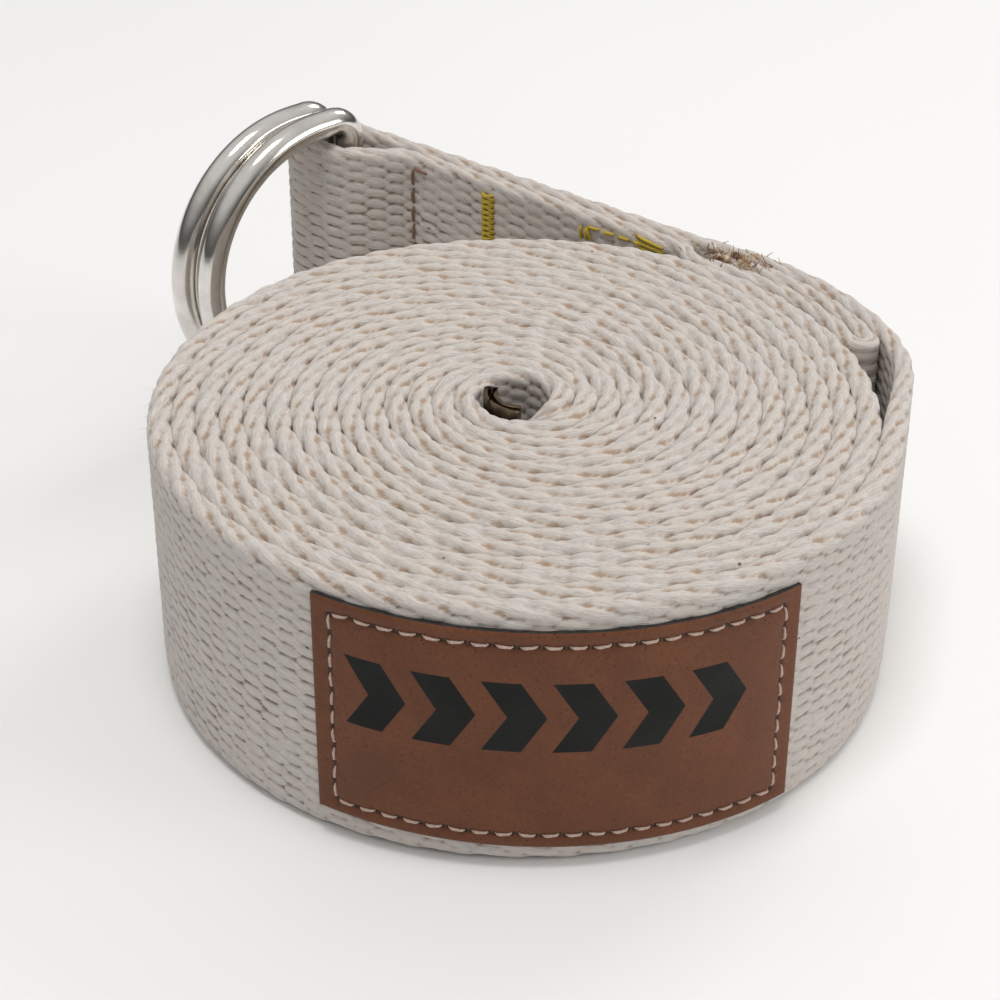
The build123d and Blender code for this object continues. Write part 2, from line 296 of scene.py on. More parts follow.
@dataclass(frozen=True)
class LeatherFinish:
    """Brown leather with fine pores and a printed band of dark chevrons."""

    brown: Colour = (0.146, 0.050, 0.021)
    warm: Colour = (0.182, 0.065, 0.029)
    pore: Colour = (0.028, 0.014, 0.010)
    ink: Colour = (0.0085, 0.009, 0.0085)
    paint: Colour = (0.012, 0.012, 0.011)
    worn_paint: Colour = (0.035, 0.032, 0.03)
    band_height: float = 20.0
    band_half: float = 5.0
    band_reach: float = 25.5
    chevron_pitch: float = 8.5
    chevron_share: float = 0.56
    chevron_lean: float = 0.62
    ink_edge: float = 0.06
    shine: float = 0.28
    mottle_pitch: float = 0.11
    grain_pitch: float = 2.1
    pore_pitch: float = 1.7

    def chevrons(self, work: Shading, along: Socket, height: Socket) -> Socket:
        """Return 1 inside the printed chevrons and 0 outside.

        Args:
            work: The material under construction.
            along: Distance along the patch from its middle.
            height: Height above the patch's lower edge.

        Returns:
            The mask's socket.
        """
        rise = work.math("ABSOLUTE", work.math("SUBTRACT", height, self.band_height))
        centred = work.math("SUBTRACT", along, self.chevron_lean * self.band_half / 2)
        leaned = work.math("ADD", centred, work.math("MULTIPLY", rise, self.chevron_lean))
        shifted = work.math("ADD", leaned, 100 * self.chevron_pitch)
        share = work.math("MODULO", work.math("DIVIDE", shifted, self.chevron_pitch), 1.0)
        starting = work.ramp(share, 0.0, 0.02)
        ending = work.ramp(share, self.chevron_share + 0.02, self.chevron_share)
        stroke = work.math("MULTIPLY", starting, ending)
        inside = work.ramp(rise, self.band_half + self.ink_edge, self.band_half)
        within = work.ramp(work.math("ABSOLUTE", leaned), self.band_reach + self.ink_edge, self.band_reach)
        return work.math("MULTIPLY", stroke, work.math("MULTIPLY", inside, within))

    def material(self) -> bpy.types.Material:
        """Return the material, which reads the panel attribute of the patch."""
        work = Shading("brown_leather", roughness=0.62)
        work.shader.inputs["Specular IOR Level"].default_value = self.shine
        vector, (along, height, hole) = work.attribute("panel")
        flat = work.scaled(vector, (1.0, 1.0, 0.0))
        mottle = work.noise(flat, self.mottle_pitch, detail=4.0)
        grain = work.cells(flat, self.grain_pitch)
        pores = work.cells(work.scaled(flat, (1.0, 0.8, 1.0)), self.pore_pitch)
        gate = work.noise(flat, 0.5, detail=1.0)
        base = work.mix(work.ramp(mottle, 0.35, 0.65), self.brown, self.warm)
        base = work.mix(work.ramp(grain, 0.0, 0.9, 0.22, 0.0), base, self.pore)
        dots = work.math("MULTIPLY", work.ramp(pores, 0.20, 0.12), work.ramp(gate, 0.42, 0.52))
        base = work.mix(work.math("MULTIPLY", dots, 0.75), base, self.pore)
        mask = self.chevrons(work, along, height)
        base = work.mix(mask, base, self.ink)
        # Painted shade: the needle holes are darkened with the pore colour.
        base = work.mix(work.ramp(hole, 0.25, 0.8), base, self.pore)
        work.colour(base)
        dull_ink = work.math("MULTIPLY", mask, 0.12)
        rough = work.math("ADD", work.ramp(mottle, 0.3, 0.7, 0.52, 0.66), dull_ink)
        work.feed(work.shader.inputs["Roughness"], rough)
        work.bump(grain, 0.05, 0.5)
        work.bump(work.math("SUBTRACT", 1.0, dots), 0.06, 0.7)
        return work.material

    def edge_material(self) -> bpy.types.Material:
        """Return the black paint of the patch's cut edges."""
        work = Shading("edge_paint", roughness=0.5)
        streaks = work.noise(work.place(), 1.3, detail=3.0)
        work.colour(work.mix(work.ramp(streaks, 0.35, 0.7), self.paint, self.worn_paint))
        work.bump(streaks, 0.08, 0.6)
        return work.material


@dataclass(frozen=True)
class MetalFinish:
    """Bare or plated metal with faint marks."""

    name: str
    bright: Colour
    dull: Colour
    roughness: float
    mark_size: float
    mark_depth: float
    worn_roughness: float = 2.1

    def material(self) -> bpy.types.Material:
        """Return the material."""
        work = Shading(self.name, roughness=self.roughness, metallic=1.0)
        place = work.place()
        cloud = work.noise(place, self.mark_size, detail=5.0, roughness=0.6)
        work.colour(work.mix(work.ramp(cloud, 0.35, 0.68), self.bright, self.dull))
        rough = work.ramp(cloud, 0.3, 0.75, self.roughness, self.roughness * self.worn_roughness)
        work.feed(work.shader.inputs["Roughness"], rough)
        scratches = work.noise(work.scaled(place, (0.5, 0.5, 7.0)), self.mark_size * 2.0, detail=3.0)
        work.bump(scratches, self.mark_depth, 0.35)
        return work.material


@dataclass(frozen=True)
class ThreadFinish:
    """Twisted sewing thread."""

    name: str
    light: Colour
    dark: Colour

    def material(self) -> bpy.types.Material:
        """Return the material."""
        work = Shading(self.name, roughness=0.6, sheen=0.2)
        place = work.place()
        fibre = work.noise(place, 5.5, detail=3.0, roughness=0.65)
        work.colour(work.mix(work.ramp(fibre, 0.3, 0.7), self.dark, self.light))
        work.bump(fibre, 0.05, 0.8)
        return work.material


NICKEL = MetalFinish("polished_nickel", (0.80, 0.775, 0.74), (0.66, 0.63, 0.59), 0.10, 0.22, 0.008)
BRONZE = MetalFinish("dark_bronze", (0.20, 0.145, 0.095), (0.07, 0.05, 0.035), 0.3, 0.6, 0.05)
CREAM_THREAD = ThreadFinish("cream_thread", (0.66, 0.50, 0.42), (0.40, 0.27, 0.21))
BROWN_THREAD = ThreadFinish("brown_thread", (0.30, 0.15, 0.09), (0.15, 0.065, 0.035))
YELLOW_THREAD = ThreadFinish("yellow_thread", (0.66, 0.50, 0.015), (0.42, 0.28, 0.008))


# ---------------------------------------------------------------- shared mesh tools


def finish_piece(
    name: str,
    bm: Mesh,
    materials: list[bpy.types.Material],
    body: Body | None = None,
    node: str | None = None,
) -> bpy.types.Object:
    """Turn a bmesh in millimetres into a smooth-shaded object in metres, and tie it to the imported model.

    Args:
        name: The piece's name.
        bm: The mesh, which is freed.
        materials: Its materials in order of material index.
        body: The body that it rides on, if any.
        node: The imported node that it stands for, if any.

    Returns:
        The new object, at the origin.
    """
    bmesh.ops.scale(bm, vec=(MM, MM, MM), verts=bm.verts)
    mesh = bpy.data.meshes.new(name)
    bm.to_mesh(mesh)
    bm.free()
    for material in materials:
        mesh.materials.append(material)
    mesh.polygons.foreach_set("use_smooth", np.ones(len(mesh.polygons), bool))
    piece = bpy.data.objects.new(name, mesh)
    bpy.context.scene.collection.objects.link(piece)
    if body is not None:
        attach(piece, body.value)
    if node is not None:
        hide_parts(node)
    log.info("%s: %d triangles", name, sum(len(face.vertices) - 2 for face in mesh.polygons))
    return piece


def sharpen(bm: Mesh, angle: float) -> None:
    """Mark every edge sharper than an angle in degrees as a hard edge."""
    for edge in bm.edges:
        edge.smooth = len(edge.link_faces) != 2 or edge.calc_face_angle(0.0) < radians(angle)


def ease(value: np.ndarray) -> np.ndarray:
    """Return the smooth step of values held between 0 and 1."""
    held = np.clip(value, 0.0, 1.0)
    return held * held * (3 - 2 * held)


def read_points(mesh: bpy.types.Mesh) -> np.ndarray:
    """Return a mesh's points as an array of shape (n, 3)."""
    points = np.empty(len(mesh.vertices) * 3, np.float32)
    mesh.vertices.foreach_get("co", points)
    return points.reshape(-1, 3)


def write_points(mesh: bpy.types.Mesh, points: np.ndarray) -> None:
    """Set a mesh's points from an array of shape (n, 3)."""
    mesh.vertices.foreach_set("co", points.astype(np.float32).ravel())


def write_attribute(mesh: bpy.types.Mesh, name: str, *parts: np.ndarray) -> None:
    """Give a mesh a vector attribute, from its three parts at every point."""
    attribute = mesh.attributes.new(name, "FLOAT_VECTOR", "POINT")
    attribute.data.foreach_set("vector", np.stack(parts, 1).astype(np.float32).ravel())


def speckle(first: np.ndarray, second: np.ndarray) -> np.ndarray:
    """Return an even spread of numbers from 0 to 1, one for each pair of whole numbers."""
    mixed = np.sin(first * 12.9898 + second * 78.233) * 43758.5453
    return mixed - np.floor(mixed)


def joint_place(name: str) -> np.ndarray:
    """Return a joint's point in millimetres."""
    for joint in frame["record"]["behaviour"]["joints"]:
        if joint["name"] == name:
            return np.array(joint["pos_m"]) / MM
    raise KeyError(name)


def toward(angle: float) -> np.ndarray:
    """Return the unit vector at an angle in degrees, in plan."""
    return np.array([cos(radians(angle)), sin(radians(angle))])

# ---------------------------------------------------------------- the strap's path


@dataclass(frozen=True)
class Step:
    """One stretch of a middle line: its length, and the angle it turns left through."""

    length: float
    turn: float = 0.0


def bend(radius: float, turn: float) -> Step:
    """Return the step of an arc of a given middle radius."""
    return Step(radius * radians(abs(turn)), turn)


@dataclass
class Course:
    """A run of steps drawn in one plane, and stood up along Z."""

    start: Spot
    heading: float
    steps: list[Step]
    origin: np.ndarray
    along: np.ndarray
    across: np.ndarray

    @property
    def length(self) -> float:
        """Return the length of the middle line."""
        return sum(step.length for step in self.steps)

    @property
    def end(self) -> np.ndarray:
        """Return the last point of the middle line."""
        return self.sample(np.array([self.length]))[0][0]

    def sample(self, distance: np.ndarray) -> tuple[np.ndarray, np.ndarray]:
        """Return points on the middle line and the directions to its right-hand side.

        Args:
            distance: Distances from the start of the course.

        Returns:
            Two arrays of shape (n, 3).
        """
        flat = np.zeros((len(distance), 2))
        heads = np.zeros(len(distance))
        point, head, reach = np.array(self.start, float), radians(self.heading), 0.0
        for number, step in enumerate(self.steps):
            here = distance >= reach if number else np.ones(len(distance), bool)
            run = distance[here] - reach
            if step.turn:
                radius = step.length / radians(step.turn)
                centre = point + radius * np.array([-sin(head), cos(head)])
                angle = head + run / radius
                flat[here] = centre + radius * np.stack([np.sin(angle), -np.cos(angle)], 1)
                heads[here] = angle
                head += radians(step.turn)
                point = centre + radius * np.array([sin(head), -cos(head)])
            else:
                flat[here] = point + run[:, None] * np.array([cos(head), sin(head)])
                heads[here] = head
                point = point + step.length * np.array([cos(head), sin(head)])
            reach += step.length
        points = self.origin + flat[:, :1] * self.along + flat[:, 1:] * self.across
        sides = np.sin(heads)[:, None] * self.along - np.cos(heads)[:, None] * self.across
        return points, sides


@dataclass
class StrapPath:
    """The whole strap's middle line, from the crimped end in the core to the raw end in the hem."""

    turn_pitch: float = 3.12
    core_radius: float = 4.775
    half_turns: int = 28
    release_angle: float = -14.0
    webbing_width: float = 38.0
    webbing_thickness: float = 2.7
    layer_gap: float = 0.1
    release_bend_radius: float = 26.0
    release_bend: float = 29.0
    tail_heading: float = 148.5
    tail_standoff: float = 0.95
    fold_drop: float = 0.4
    tail_run: float = 69.0
    raw_end_margin: float = 2.0
    fold_step_run: float = 7.0
    loop_slack: float = 0.9
    loop_pinch: float = 35.0
    loop_return_radius: float = 6.0
    ring_wire: float = 4.4
    ring_inner_height: float = 39.5
    ring_gap: float = 0.38
    ring_heading: float = 221.6

    def __post_init__(self) -> None:
        """Lay the four courses one after another, each from where the last one ends."""
        self.layer_pitch = self.webbing_thickness + self.layer_gap
        roll = self.lay_roll()
        release = self.lay_release()
        tail = self.lay_tail()
        self.courses = [roll, release, tail, self.lay_hem()]
        self.starts = np.cumsum([0.0] + [course.length for course in self.courses])

    def in_plan(self, start: np.ndarray, heading: float, steps: list[Step]) -> Course:
        """Return a course drawn in plan, with its start measured from the roll's axis."""
        ground = self.roll_axis * (1, 1, 0)
        return Course(tuple(start), heading, steps, ground, *np.eye(3)[:2])

    def lay_roll(self) -> Course:
        """Return the roll: half turns about two centres, each half a pitch wider than the last."""
        outward = toward(self.release_angle)
        shift = self.turn_pitch / 4
        radii = [self.core_radius + step * self.turn_pitch / 2 for step in range(self.half_turns + 1)]
        self.outer_radius = radii[-1]
        self.release_radius = self.outer_radius + shift
        self.release_point = joint_place("tail_swing")
        self.roll_axis = self.release_point - np.array([*outward, 0.0]) * self.release_radius
        self.front_centre = self.roll_axis[:2] + outward * shift
        steps = [bend(radius, 180.0) for radius in radii]
        self.turn_ends = np.cumsum([0.0] + [step.length for step in steps])
        return self.in_plan(outward * (shift - self.core_radius), self.release_angle + 270, steps)

    def lay_release(self) -> Course:
        """Return the way out of the roll: a straight run and two bends, to where the tail starts to climb.

        The run is as long as it takes the hem's fold to clear the roll.
        """
        heading = self.release_angle + 90
        self.tail_along = toward(self.tail_heading)
        self.tail_out = np.array([self.tail_along[1], -self.tail_along[0]])
        under = self.release_radius - self.turn_pitch + self.webbing_thickness / 2
        distance = under + self.tail_standoff + 2 * self.layer_pitch + self.webbing_thickness / 2
        start = toward(self.release_angle) * self.release_radius
        first_bend = bend(self.release_bend_radius, self.release_bend)
        reach = self.in_plan(start, heading, [first_bend]).end[:2] - self.roll_axis[:2]
        half = reach @ toward(heading)
        run = sqrt(half**2 - reach @ reach + (distance - self.fold_drop) ** 2) - half
        course = self.in_plan(start, heading, [Step(run), first_bend])
        fold = course.end[:2] - self.roll_axis[:2]
        self.round_bend = self.tail_heading - heading - self.release_bend
        self.round_radius = (distance - fold @ self.tail_out) / (1 - cos(radians(self.round_bend)))
        course.steps.append(bend(self.round_radius, self.round_bend))
        self.ramp_origin = course.end
        return course

    def lay_tail(self) -> Course:
        """Return the straight tail that climbs to the rings, its pinched loop and the layer back."""
        loop_radius = self.ring_wire / 2 + self.loop_slack + self.webbing_thickness / 2
        spacing = (self.ring_wire + self.ring_gap) / sin(radians(self.ring_heading - self.tail_heading))
        lift = self.ring_wire + self.ring_inner_height / 2 - self.webbing_width / 2
        slope = asin(lift / (self.tail_run - spacing / 2))
        self.ramp_along = np.array([*(self.tail_along * cos(slope)), sin(slope)])
        self.ramp_out = np.array([*self.tail_out, 0.0])
        pinch = radians(self.loop_pinch)
        both = loop_radius + self.loop_return_radius
        pinch_run = (2 * loop_radius - self.layer_pitch - both * (1 - cos(pinch))) / sin(pinch)
        self.meet_place = self.tail_run - spacing - both * sin(pinch) - pinch_run * cos(pinch)
        loop = [
            Step(self.tail_run),
            bend(loop_radius, 180.0),
            Step(spacing),
            bend(loop_radius, self.loop_pinch),
            Step(pinch_run),
            bend(self.loop_return_radius, -self.loop_pinch),
        ]
        self.loop_length = sum(step.length for step in loop)
        step_turn = 2 * degrees(atan(self.layer_pitch / self.fold_step_run))
        step_radius = self.fold_step_run / (2 * sin(radians(step_turn)))
        back = [
            Step(self.meet_place - self.fold_step_run),
            bend(step_radius, -step_turn),
            bend(step_radius, step_turn),
        ]
        return Course((0.0, 0.0), 0.0, loop + back, self.ramp_origin, self.ramp_along, -self.ramp_out)

    def lay_hem(self) -> Course:
        """Return the hem: the layer that comes back follows the bend, folds over and is tucked between."""
        start = self.ramp_origin[:2] - self.roll_axis[:2] - self.tail_out * 2 * self.layer_pitch
        tuck_radius = self.round_radius - self.layer_pitch
        steps = [
            bend(self.round_radius - 2 * self.layer_pitch, -self.round_bend),
            bend(self.layer_pitch / 2, 180.0),
            bend(tuck_radius, self.round_bend - degrees(self.raw_end_margin / tuck_radius)),
        ]
        return self.in_plan(start, self.tail_heading + 180, steps)

    @property
    def length(self) -> float:
        """Return the strap's whole length."""
        return float(self.starts[-1])

    def sample(self, distance: np.ndarray) -> tuple[np.ndarray, np.ndarray]:
        """Return points and right-hand directions at distances from the crimped end."""
        points = np.zeros((len(distance), 3))
        sides = np.zeros((len(distance), 3))
        for number, course in enumerate(self.courses):
            here = distance >= self.starts[number] if number else np.ones(len(distance), bool)
            points[here], sides[here] = course.sample(distance[here] - self.starts[number])
        return points, sides


# ---------------------------------------------------------------- sewing


@dataclass
class Stitch:
    """One visible length of two-ply thread, arched over the surface and diving in at both ends."""

    thread: float = 0.6
    proud: float = 0.42
    dive: float = 0.45
    bow: float = 0.0
    sides: int = 8
    cuts: int = 7
    plies: int = 2
    ply_depth: float = 0.13
    turns: float = 1.6
    end_taper: float = 0.3
    end_drop: float = 0.6

    def template(self) -> bpy.types.Mesh:
        """Return the stitch along X, one millimetre long, with Z away from the surface."""
        bm = bmesh.new()
        bmesh.ops.create_cone(bm, cap_ends=True, segments=self.sides, radius1=0.5, radius2=0.5, depth=1.0)
        bmesh.ops.rotate(bm, verts=bm.verts, matrix=Matrix.Rotation(pi / 2, 3, "Y"))
        long_edges = [edge for edge in bm.edges if abs(edge.verts[0].co.x - edge.verts[1].co.x) > 0.5]
        bmesh.ops.subdivide_edges(bm, edges=long_edges, cuts=self.cuts)
        for vert in bm.verts:
            x, y, z = vert.co
            angle = atan2(z, y)
            end = (2 * x) ** 4
            twist = cos(self.plies * angle - self.turns * 2 * pi * x)
            radius = self.thread / 2 * (1 - self.ply_depth * (1 - twist))
            radius *= 1 - self.end_taper * end
            arch = (self.proud - self.thread / 2) - (self.proud + self.dive) * end * self.end_drop
            sag = self.bow * (1 - 4 * x * x)
            vert.co = Vector((x, cos(angle) * radius - sag, sin(angle) * radius + arch))
        mesh = bpy.data.meshes.new("stitch")
        bm.to_mesh(mesh)
        bm.free()
        return mesh


@dataclass
class Seam:
    """A row of stitches gathered into one piece."""

    name: str
    node: str
    body: Body
    finish: ThreadFinish
    slot: Slot
    stitch: Stitch
    pieces: list[Matrix] = field(default_factory=list)

    def add(self, start: np.ndarray, end: np.ndarray, normal: np.ndarray) -> None:
        """Add a stitch between two points in millimetres on a surface with an outward normal."""
        run = Vector(end) - Vector(start)
        out = Vector(normal).normalized()
        side = out.cross(run).normalized()
        out = run.cross(side).normalized()
        middle = (Vector(start) + Vector(end)) / 2
        matrix = Matrix((run, side, out)).transposed().to_4x4()
        self.pieces.append(Matrix.Translation(middle) @ matrix)

    def build(self) -> None:
        """Copy the stitch to every place, and tie the seam to its body."""
        template = self.stitch.template()
        bm = bmesh.new()
        for matrix in self.pieces:
            before = len(bm.verts)
            bm.from_mesh(template)
            bm.verts.ensure_lookup_table()
            bmesh.ops.transform(bm, matrix=matrix, verts=bm.verts[before:])
        bpy.data.meshes.remove(template)
        bmesh.ops.recalc_face_normals(bm, faces=bm.faces)
        finish_piece(self.name, bm, [self.finish.material()], self.body, self.node)


@dataclass
class TailSewing:
    """The brown tack, the yellow bartack and the yellow box on the tail, on both faces."""

    path: StrapPath
    edge_margin: float = 3.2
    rise: float = 0.9
    needle_proud: float = 0.5
    bobbin_proud: float = 0.38
    tack_pitch: float = 3.2
    tack_length: float = 2.8
    tack_return: float = 3.0
    tack_return_drop: float = 0.2
    tack_setback: float = -0.3
    bartack_setback: float = 13.8
    bartack_width: float = 2.5
    bartack_pitch: float = 0.9
    bartack_tilt: float = 0.42
    bartack_shift: float = 0.08
    box_setback: float = 1.0
    box_length: float = 13.0
    box_height: float = 32.0
    box_pitch: float = 2.6
    box_stitch: float = 2.3
    doubled_gap: float = 0.9
    closing_inset: float = 2.0
    closing_half: float = 2.6
    closing_pitch: float = 0.8

    def __post_init__(self) -> None:
        """Work out where each row of sewing crosses the tail, from where the tail starts to climb."""
        self.tack_at = self.path.meet_place - self.tack_setback
        self.bartack_at = self.tack_at - self.bartack_setback
        self.near = self.path.fold_step_run + self.box_setback
        self.far = self.near + self.box_length

    def point(self, side: Side, run: float, height: float) -> np.ndarray:
        """Return a point on one face of the tail.

        Args:
            side: The needle side faces the roll, and the bobbin side faces away from it.
            run: Distance along the tail from where it starts to climb.
            height: Height above the middle of the webbing.

        Returns:
            The point in millimetres.
        """
        path = self.path
        gap = path.webbing_thickness / 2
        offset = gap if side is Side.BOBBIN else -(path.layer_pitch + gap)
        middle = path.ramp_origin + UP * (path.webbing_width / 2)
        return middle + path.ramp_along * run + path.ramp_out * offset + UP * (height + self.rise)

    def stitch(self, seam: Seam, side: Side, first: Spot, last: Spot) -> None:
        """Sew one stitch between two places on the tail, given as (run, height)."""
        normal = self.path.ramp_out * (1 if side is Side.BOBBIN else -1)
        seam.add(self.point(side, *first), self.point(side, *last), normal)

    def line(self, seam: Seam, side: Side, ends: tuple[Spot, Spot], pitch: float, length: float) -> None:
        """Sew a straight line of stitches between two places on the tail, given as (run, height)."""
        start, end = np.array(ends[0]), np.array(ends[1])
        whole = float(np.linalg.norm(end - start))
        count = max(1, round(whole / pitch))
        for index in range(count):
            middle = start + (end - start) * (index + 0.5) / count
            reach = (end - start) / whole * length / 2
            self.stitch(seam, side, middle - reach, middle + reach)

    def seam(self, kind: str, side: Side, finish: ThreadFinish, slot: Slot, stitch: Stitch) -> Seam:
        """Return an empty seam of the tail, named after its kind and side."""
        name = f"{kind}_{side.value}"
        return Seam(f"{name}_stitches", f"{name}_thread", Body.TAIL, finish, slot, stitch)

    def tack(self, side: Side, stitch: Stitch, half: float) -> Seam:
        """Return the brown tack across the mouth of the loop, with its turned-in end."""
        seam = self.seam("tack", side, BROWN_THREAD, Slot.BROWN, stitch)
        at, drop = self.tack_at, self.tack_return_drop
        back = ((at, half + drop), (at - self.tack_return, half - drop))
        self.line(seam, side, ((at, -half), (at, half)), self.tack_pitch, self.tack_length)
        self.line(seam, side, back, self.tack_return, self.tack_length)
        return seam

    def bartack(self, side: Side, stitch: Stitch, half: float) -> Seam:
        """Return the yellow bartack: a column of close crossed stitches."""
        seam = self.seam("bartack", side, YELLOW_THREAD, Slot.YELLOW, stitch)
        count = round(2 * half / self.bartack_pitch)
        start, end = self.bartack_at - self.bartack_width / 2, self.bartack_at + self.bartack_width / 2
        for index in range(count):
            height = -half + (index + 0.5) * 2 * half / count
            for tilt, shift in ((self.bartack_tilt, 0.0), (-self.bartack_tilt, self.bartack_shift)):
                self.stitch(seam, side, (start, height - tilt + shift), (end, height + tilt + shift))
        return seam

    def box(self, side: Side, stitch: Stitch) -> Seam:
        """Return the yellow box with its cross, its doubled far column and its dense closing bar."""
        seam = self.seam("box", side, YELLOW_THREAD, Slot.YELLOW, stitch)
        near, far, tall = self.near, self.far, self.box_height / 2
        corners = [(near, -tall), (near, tall), (far, tall), (far, -tall)]
        doubled = far + self.doubled_gap
        rows = list(zip(corners, corners[1:] + corners[:1]))
        rows += [(corners[0], corners[2]), (corners[1], corners[3]), ((doubled, -tall), (doubled, tall))]
        for ends in rows:
            self.line(seam, side, ends, self.box_pitch, self.box_stitch)
        closing, half, pitch = near + self.closing_inset, self.closing_half, self.closing_pitch
        for index in range(round(2 * (tall + pitch) / pitch)):
            level = -tall + index * pitch
            self.stitch(seam, side, (closing - half, level - pitch / 2), (closing + half, level + pitch / 2))
        return seam

    def build(self) -> None:
        """Build the three seams on both sides."""
        half = (self.path.webbing_width - 2 * self.edge_margin) / 2
        for side in Side:
            proud = self.needle_proud if side is Side.NEEDLE else self.bobbin_proud
            stitch = Stitch(proud=proud)
            fine = Stitch(thread=0.62, proud=proud + 0.1, turns=1.2)
            self.tack(side, stitch, half).build()
            self.bartack(side, fine, half).build()
            self.box(side, stitch).build()


# ---------------------------------------------------------------- the webbing


@dataclass
class Weave:
    """The relief of the webbing: slanted lens-shaped floats of yarn in a half-drop pattern."""

    rows: int = 42
    column_pitch: float = 3.2
    float_reach: float = 2.3
    edge_reach: float = 2.2
    slant: float = 0.05
    edge_slant: float = 0.27
    face_height: float = 0.44
    edge_height: float = 0.66
    foot_share: float = 0.45
    foot_reach: float = 3.0
    breadth_share: float = 0.51
    shift: float = 0.5
    least: Triple = (0.92, 0.92, 0.86)
    spread: Triple = (0.20, 0.16, 0.14)
    point_power: float = 0.55
    dome_power: float = 0.6
    end_power: float = 0.45

    def relief(
        self, distance: np.ndarray, place: np.ndarray, girth: float, edge: np.ndarray
    ) -> tuple[np.ndarray, np.ndarray]:
        """Return the height of the relief and how deep each point lies between the floats.

        Each float differs a little in length, breadth and height, from its least share by up to its spread.

        Args:
            distance: Distance along the strap of each point.
            place: Distance round the section of each point.
            girth: The whole distance round the section.
            edge: 1 on the strap's rounded edges, and 0 on its faces.

        Returns:
            Heights in millimetres, and depths from 0 on a float's crest to 1 in a hollow.
        """
        row_pitch = girth / self.rows
        crest = np.zeros_like(distance)
        nearest = np.round(distance / self.column_pitch)
        slope = self.slant + (self.edge_slant - self.slant) * edge
        reach = self.float_reach + (self.edge_reach - self.float_reach) * edge
        for column_step in (-1, 0, 1):
            column = nearest + column_step
            drop = 0.5 * np.mod(column, 2)
            run = distance - column * self.column_pitch
            slid = place + slope * run
            row_at = np.round(slid / row_pitch - drop)
            for row_step in (-1, 0, 1):
                row = row_at + row_step
                key = np.mod(row, self.rows)
                draws = (speckle(column, key), speckle(column + 3, key + 5), speckle(key + 11, column))
                long, broad, high = (
                    least + spread * draw for least, spread, draw in zip(self.least, self.spread, draws)
                )
                forward = (run + self.shift * (speckle(key, column + 7) - 0.5)) / (reach * long)
                taper = np.clip(1 - forward**2, 0.0, 1.0)
                point = np.maximum(taper, TINY) ** self.point_power
                breadth = row_pitch * self.breadth_share * broad * point
                side = (slid - (row + drop) * row_pitch) / breadth
                dome = np.clip(1 - side**2, 0.0, 1.0) ** self.dome_power * taper**self.end_power
                crest = np.maximum(crest, dome * high)
        height = self.face_height + (self.edge_height - self.face_height) * edge
        return height * crest, 1 - crest


@dataclass
class Section:
    """The webbing's cross-section, followed from the middle of its lower edge up its outer face."""

    width: float
    thickness: float
    crown: float = 1.15
    fullness: float = 2.35
    detail: int = 4000
    probe: float = 0.12
    rim: float = 2.6
    edge_from: float = 0.12
    edge_span: float = 0.5

    def __post_init__(self) -> None:
        """Trace the closed outline once, finely, and measure it."""
        turn = np.linspace(-pi / 2, 3 * pi / 2, self.detail)
        power = 2 / self.fullness
        level = np.sin(turn)
        self.across = self.thickness / 2 * np.sign(np.cos(turn)) * np.abs(np.cos(turn)) ** power
        rise = self.crown * np.sign(level) * np.abs(level) ** power
        self.height = np.where(level > 0, self.width - self.crown, self.crown) + rise
        steps = np.hypot(np.diff(self.across), np.diff(self.height))
        self.reach = np.concatenate([[0.0], np.cumsum(steps)])
        self.girth = float(self.reach[-1])

    def sample(self, place: np.ndarray) -> tuple[np.ndarray, np.ndarray, np.ndarray, np.ndarray, np.ndarray]:
        """Return what lies at places round the section.

        Args:
            place: Distances round the section from the middle of its lower edge.

        Returns:
            The offset to the right, the height, the outward normal's parts to the right and upwards, and 1
            on the rounded edges easing to 0 on the faces.
        """
        found = []
        for line in (self.across, self.height):
            spots = [np.mod(place + step, self.girth) for step in (0, self.probe, -self.probe)]
            here, ahead, behind = (np.interp(spot, self.reach, line) for spot in spots)
            found += [here, ahead - behind]
        across, run, height, rise = found
        size = np.hypot(run, rise) + TINY**2
        edge = ease((np.abs(run / size) - self.edge_from) / self.edge_span)
        return across, height, rise / size, -run / size, edge

    def places(self, outer: float, inner: float, top: float, base: float) -> np.ndarray:
        """Return places round the section, spaced separately on each face and on each edge."""
        half, rim = self.girth / 2, self.rim
        marks = [(0, rim, base), (rim, half - rim, outer), (half - rim, half + rim, top)]
        marks += [(half + rim, 2 * half - rim, inner), (2 * half - rim, 2 * half, base)]
        places = [np.array([0.0])]
        for start, end, spacing in marks:
            count = max(2, round((end - start) / spacing))
            places.append(np.linspace(start, end, count + 1)[1:])
        return np.concatenate(places)


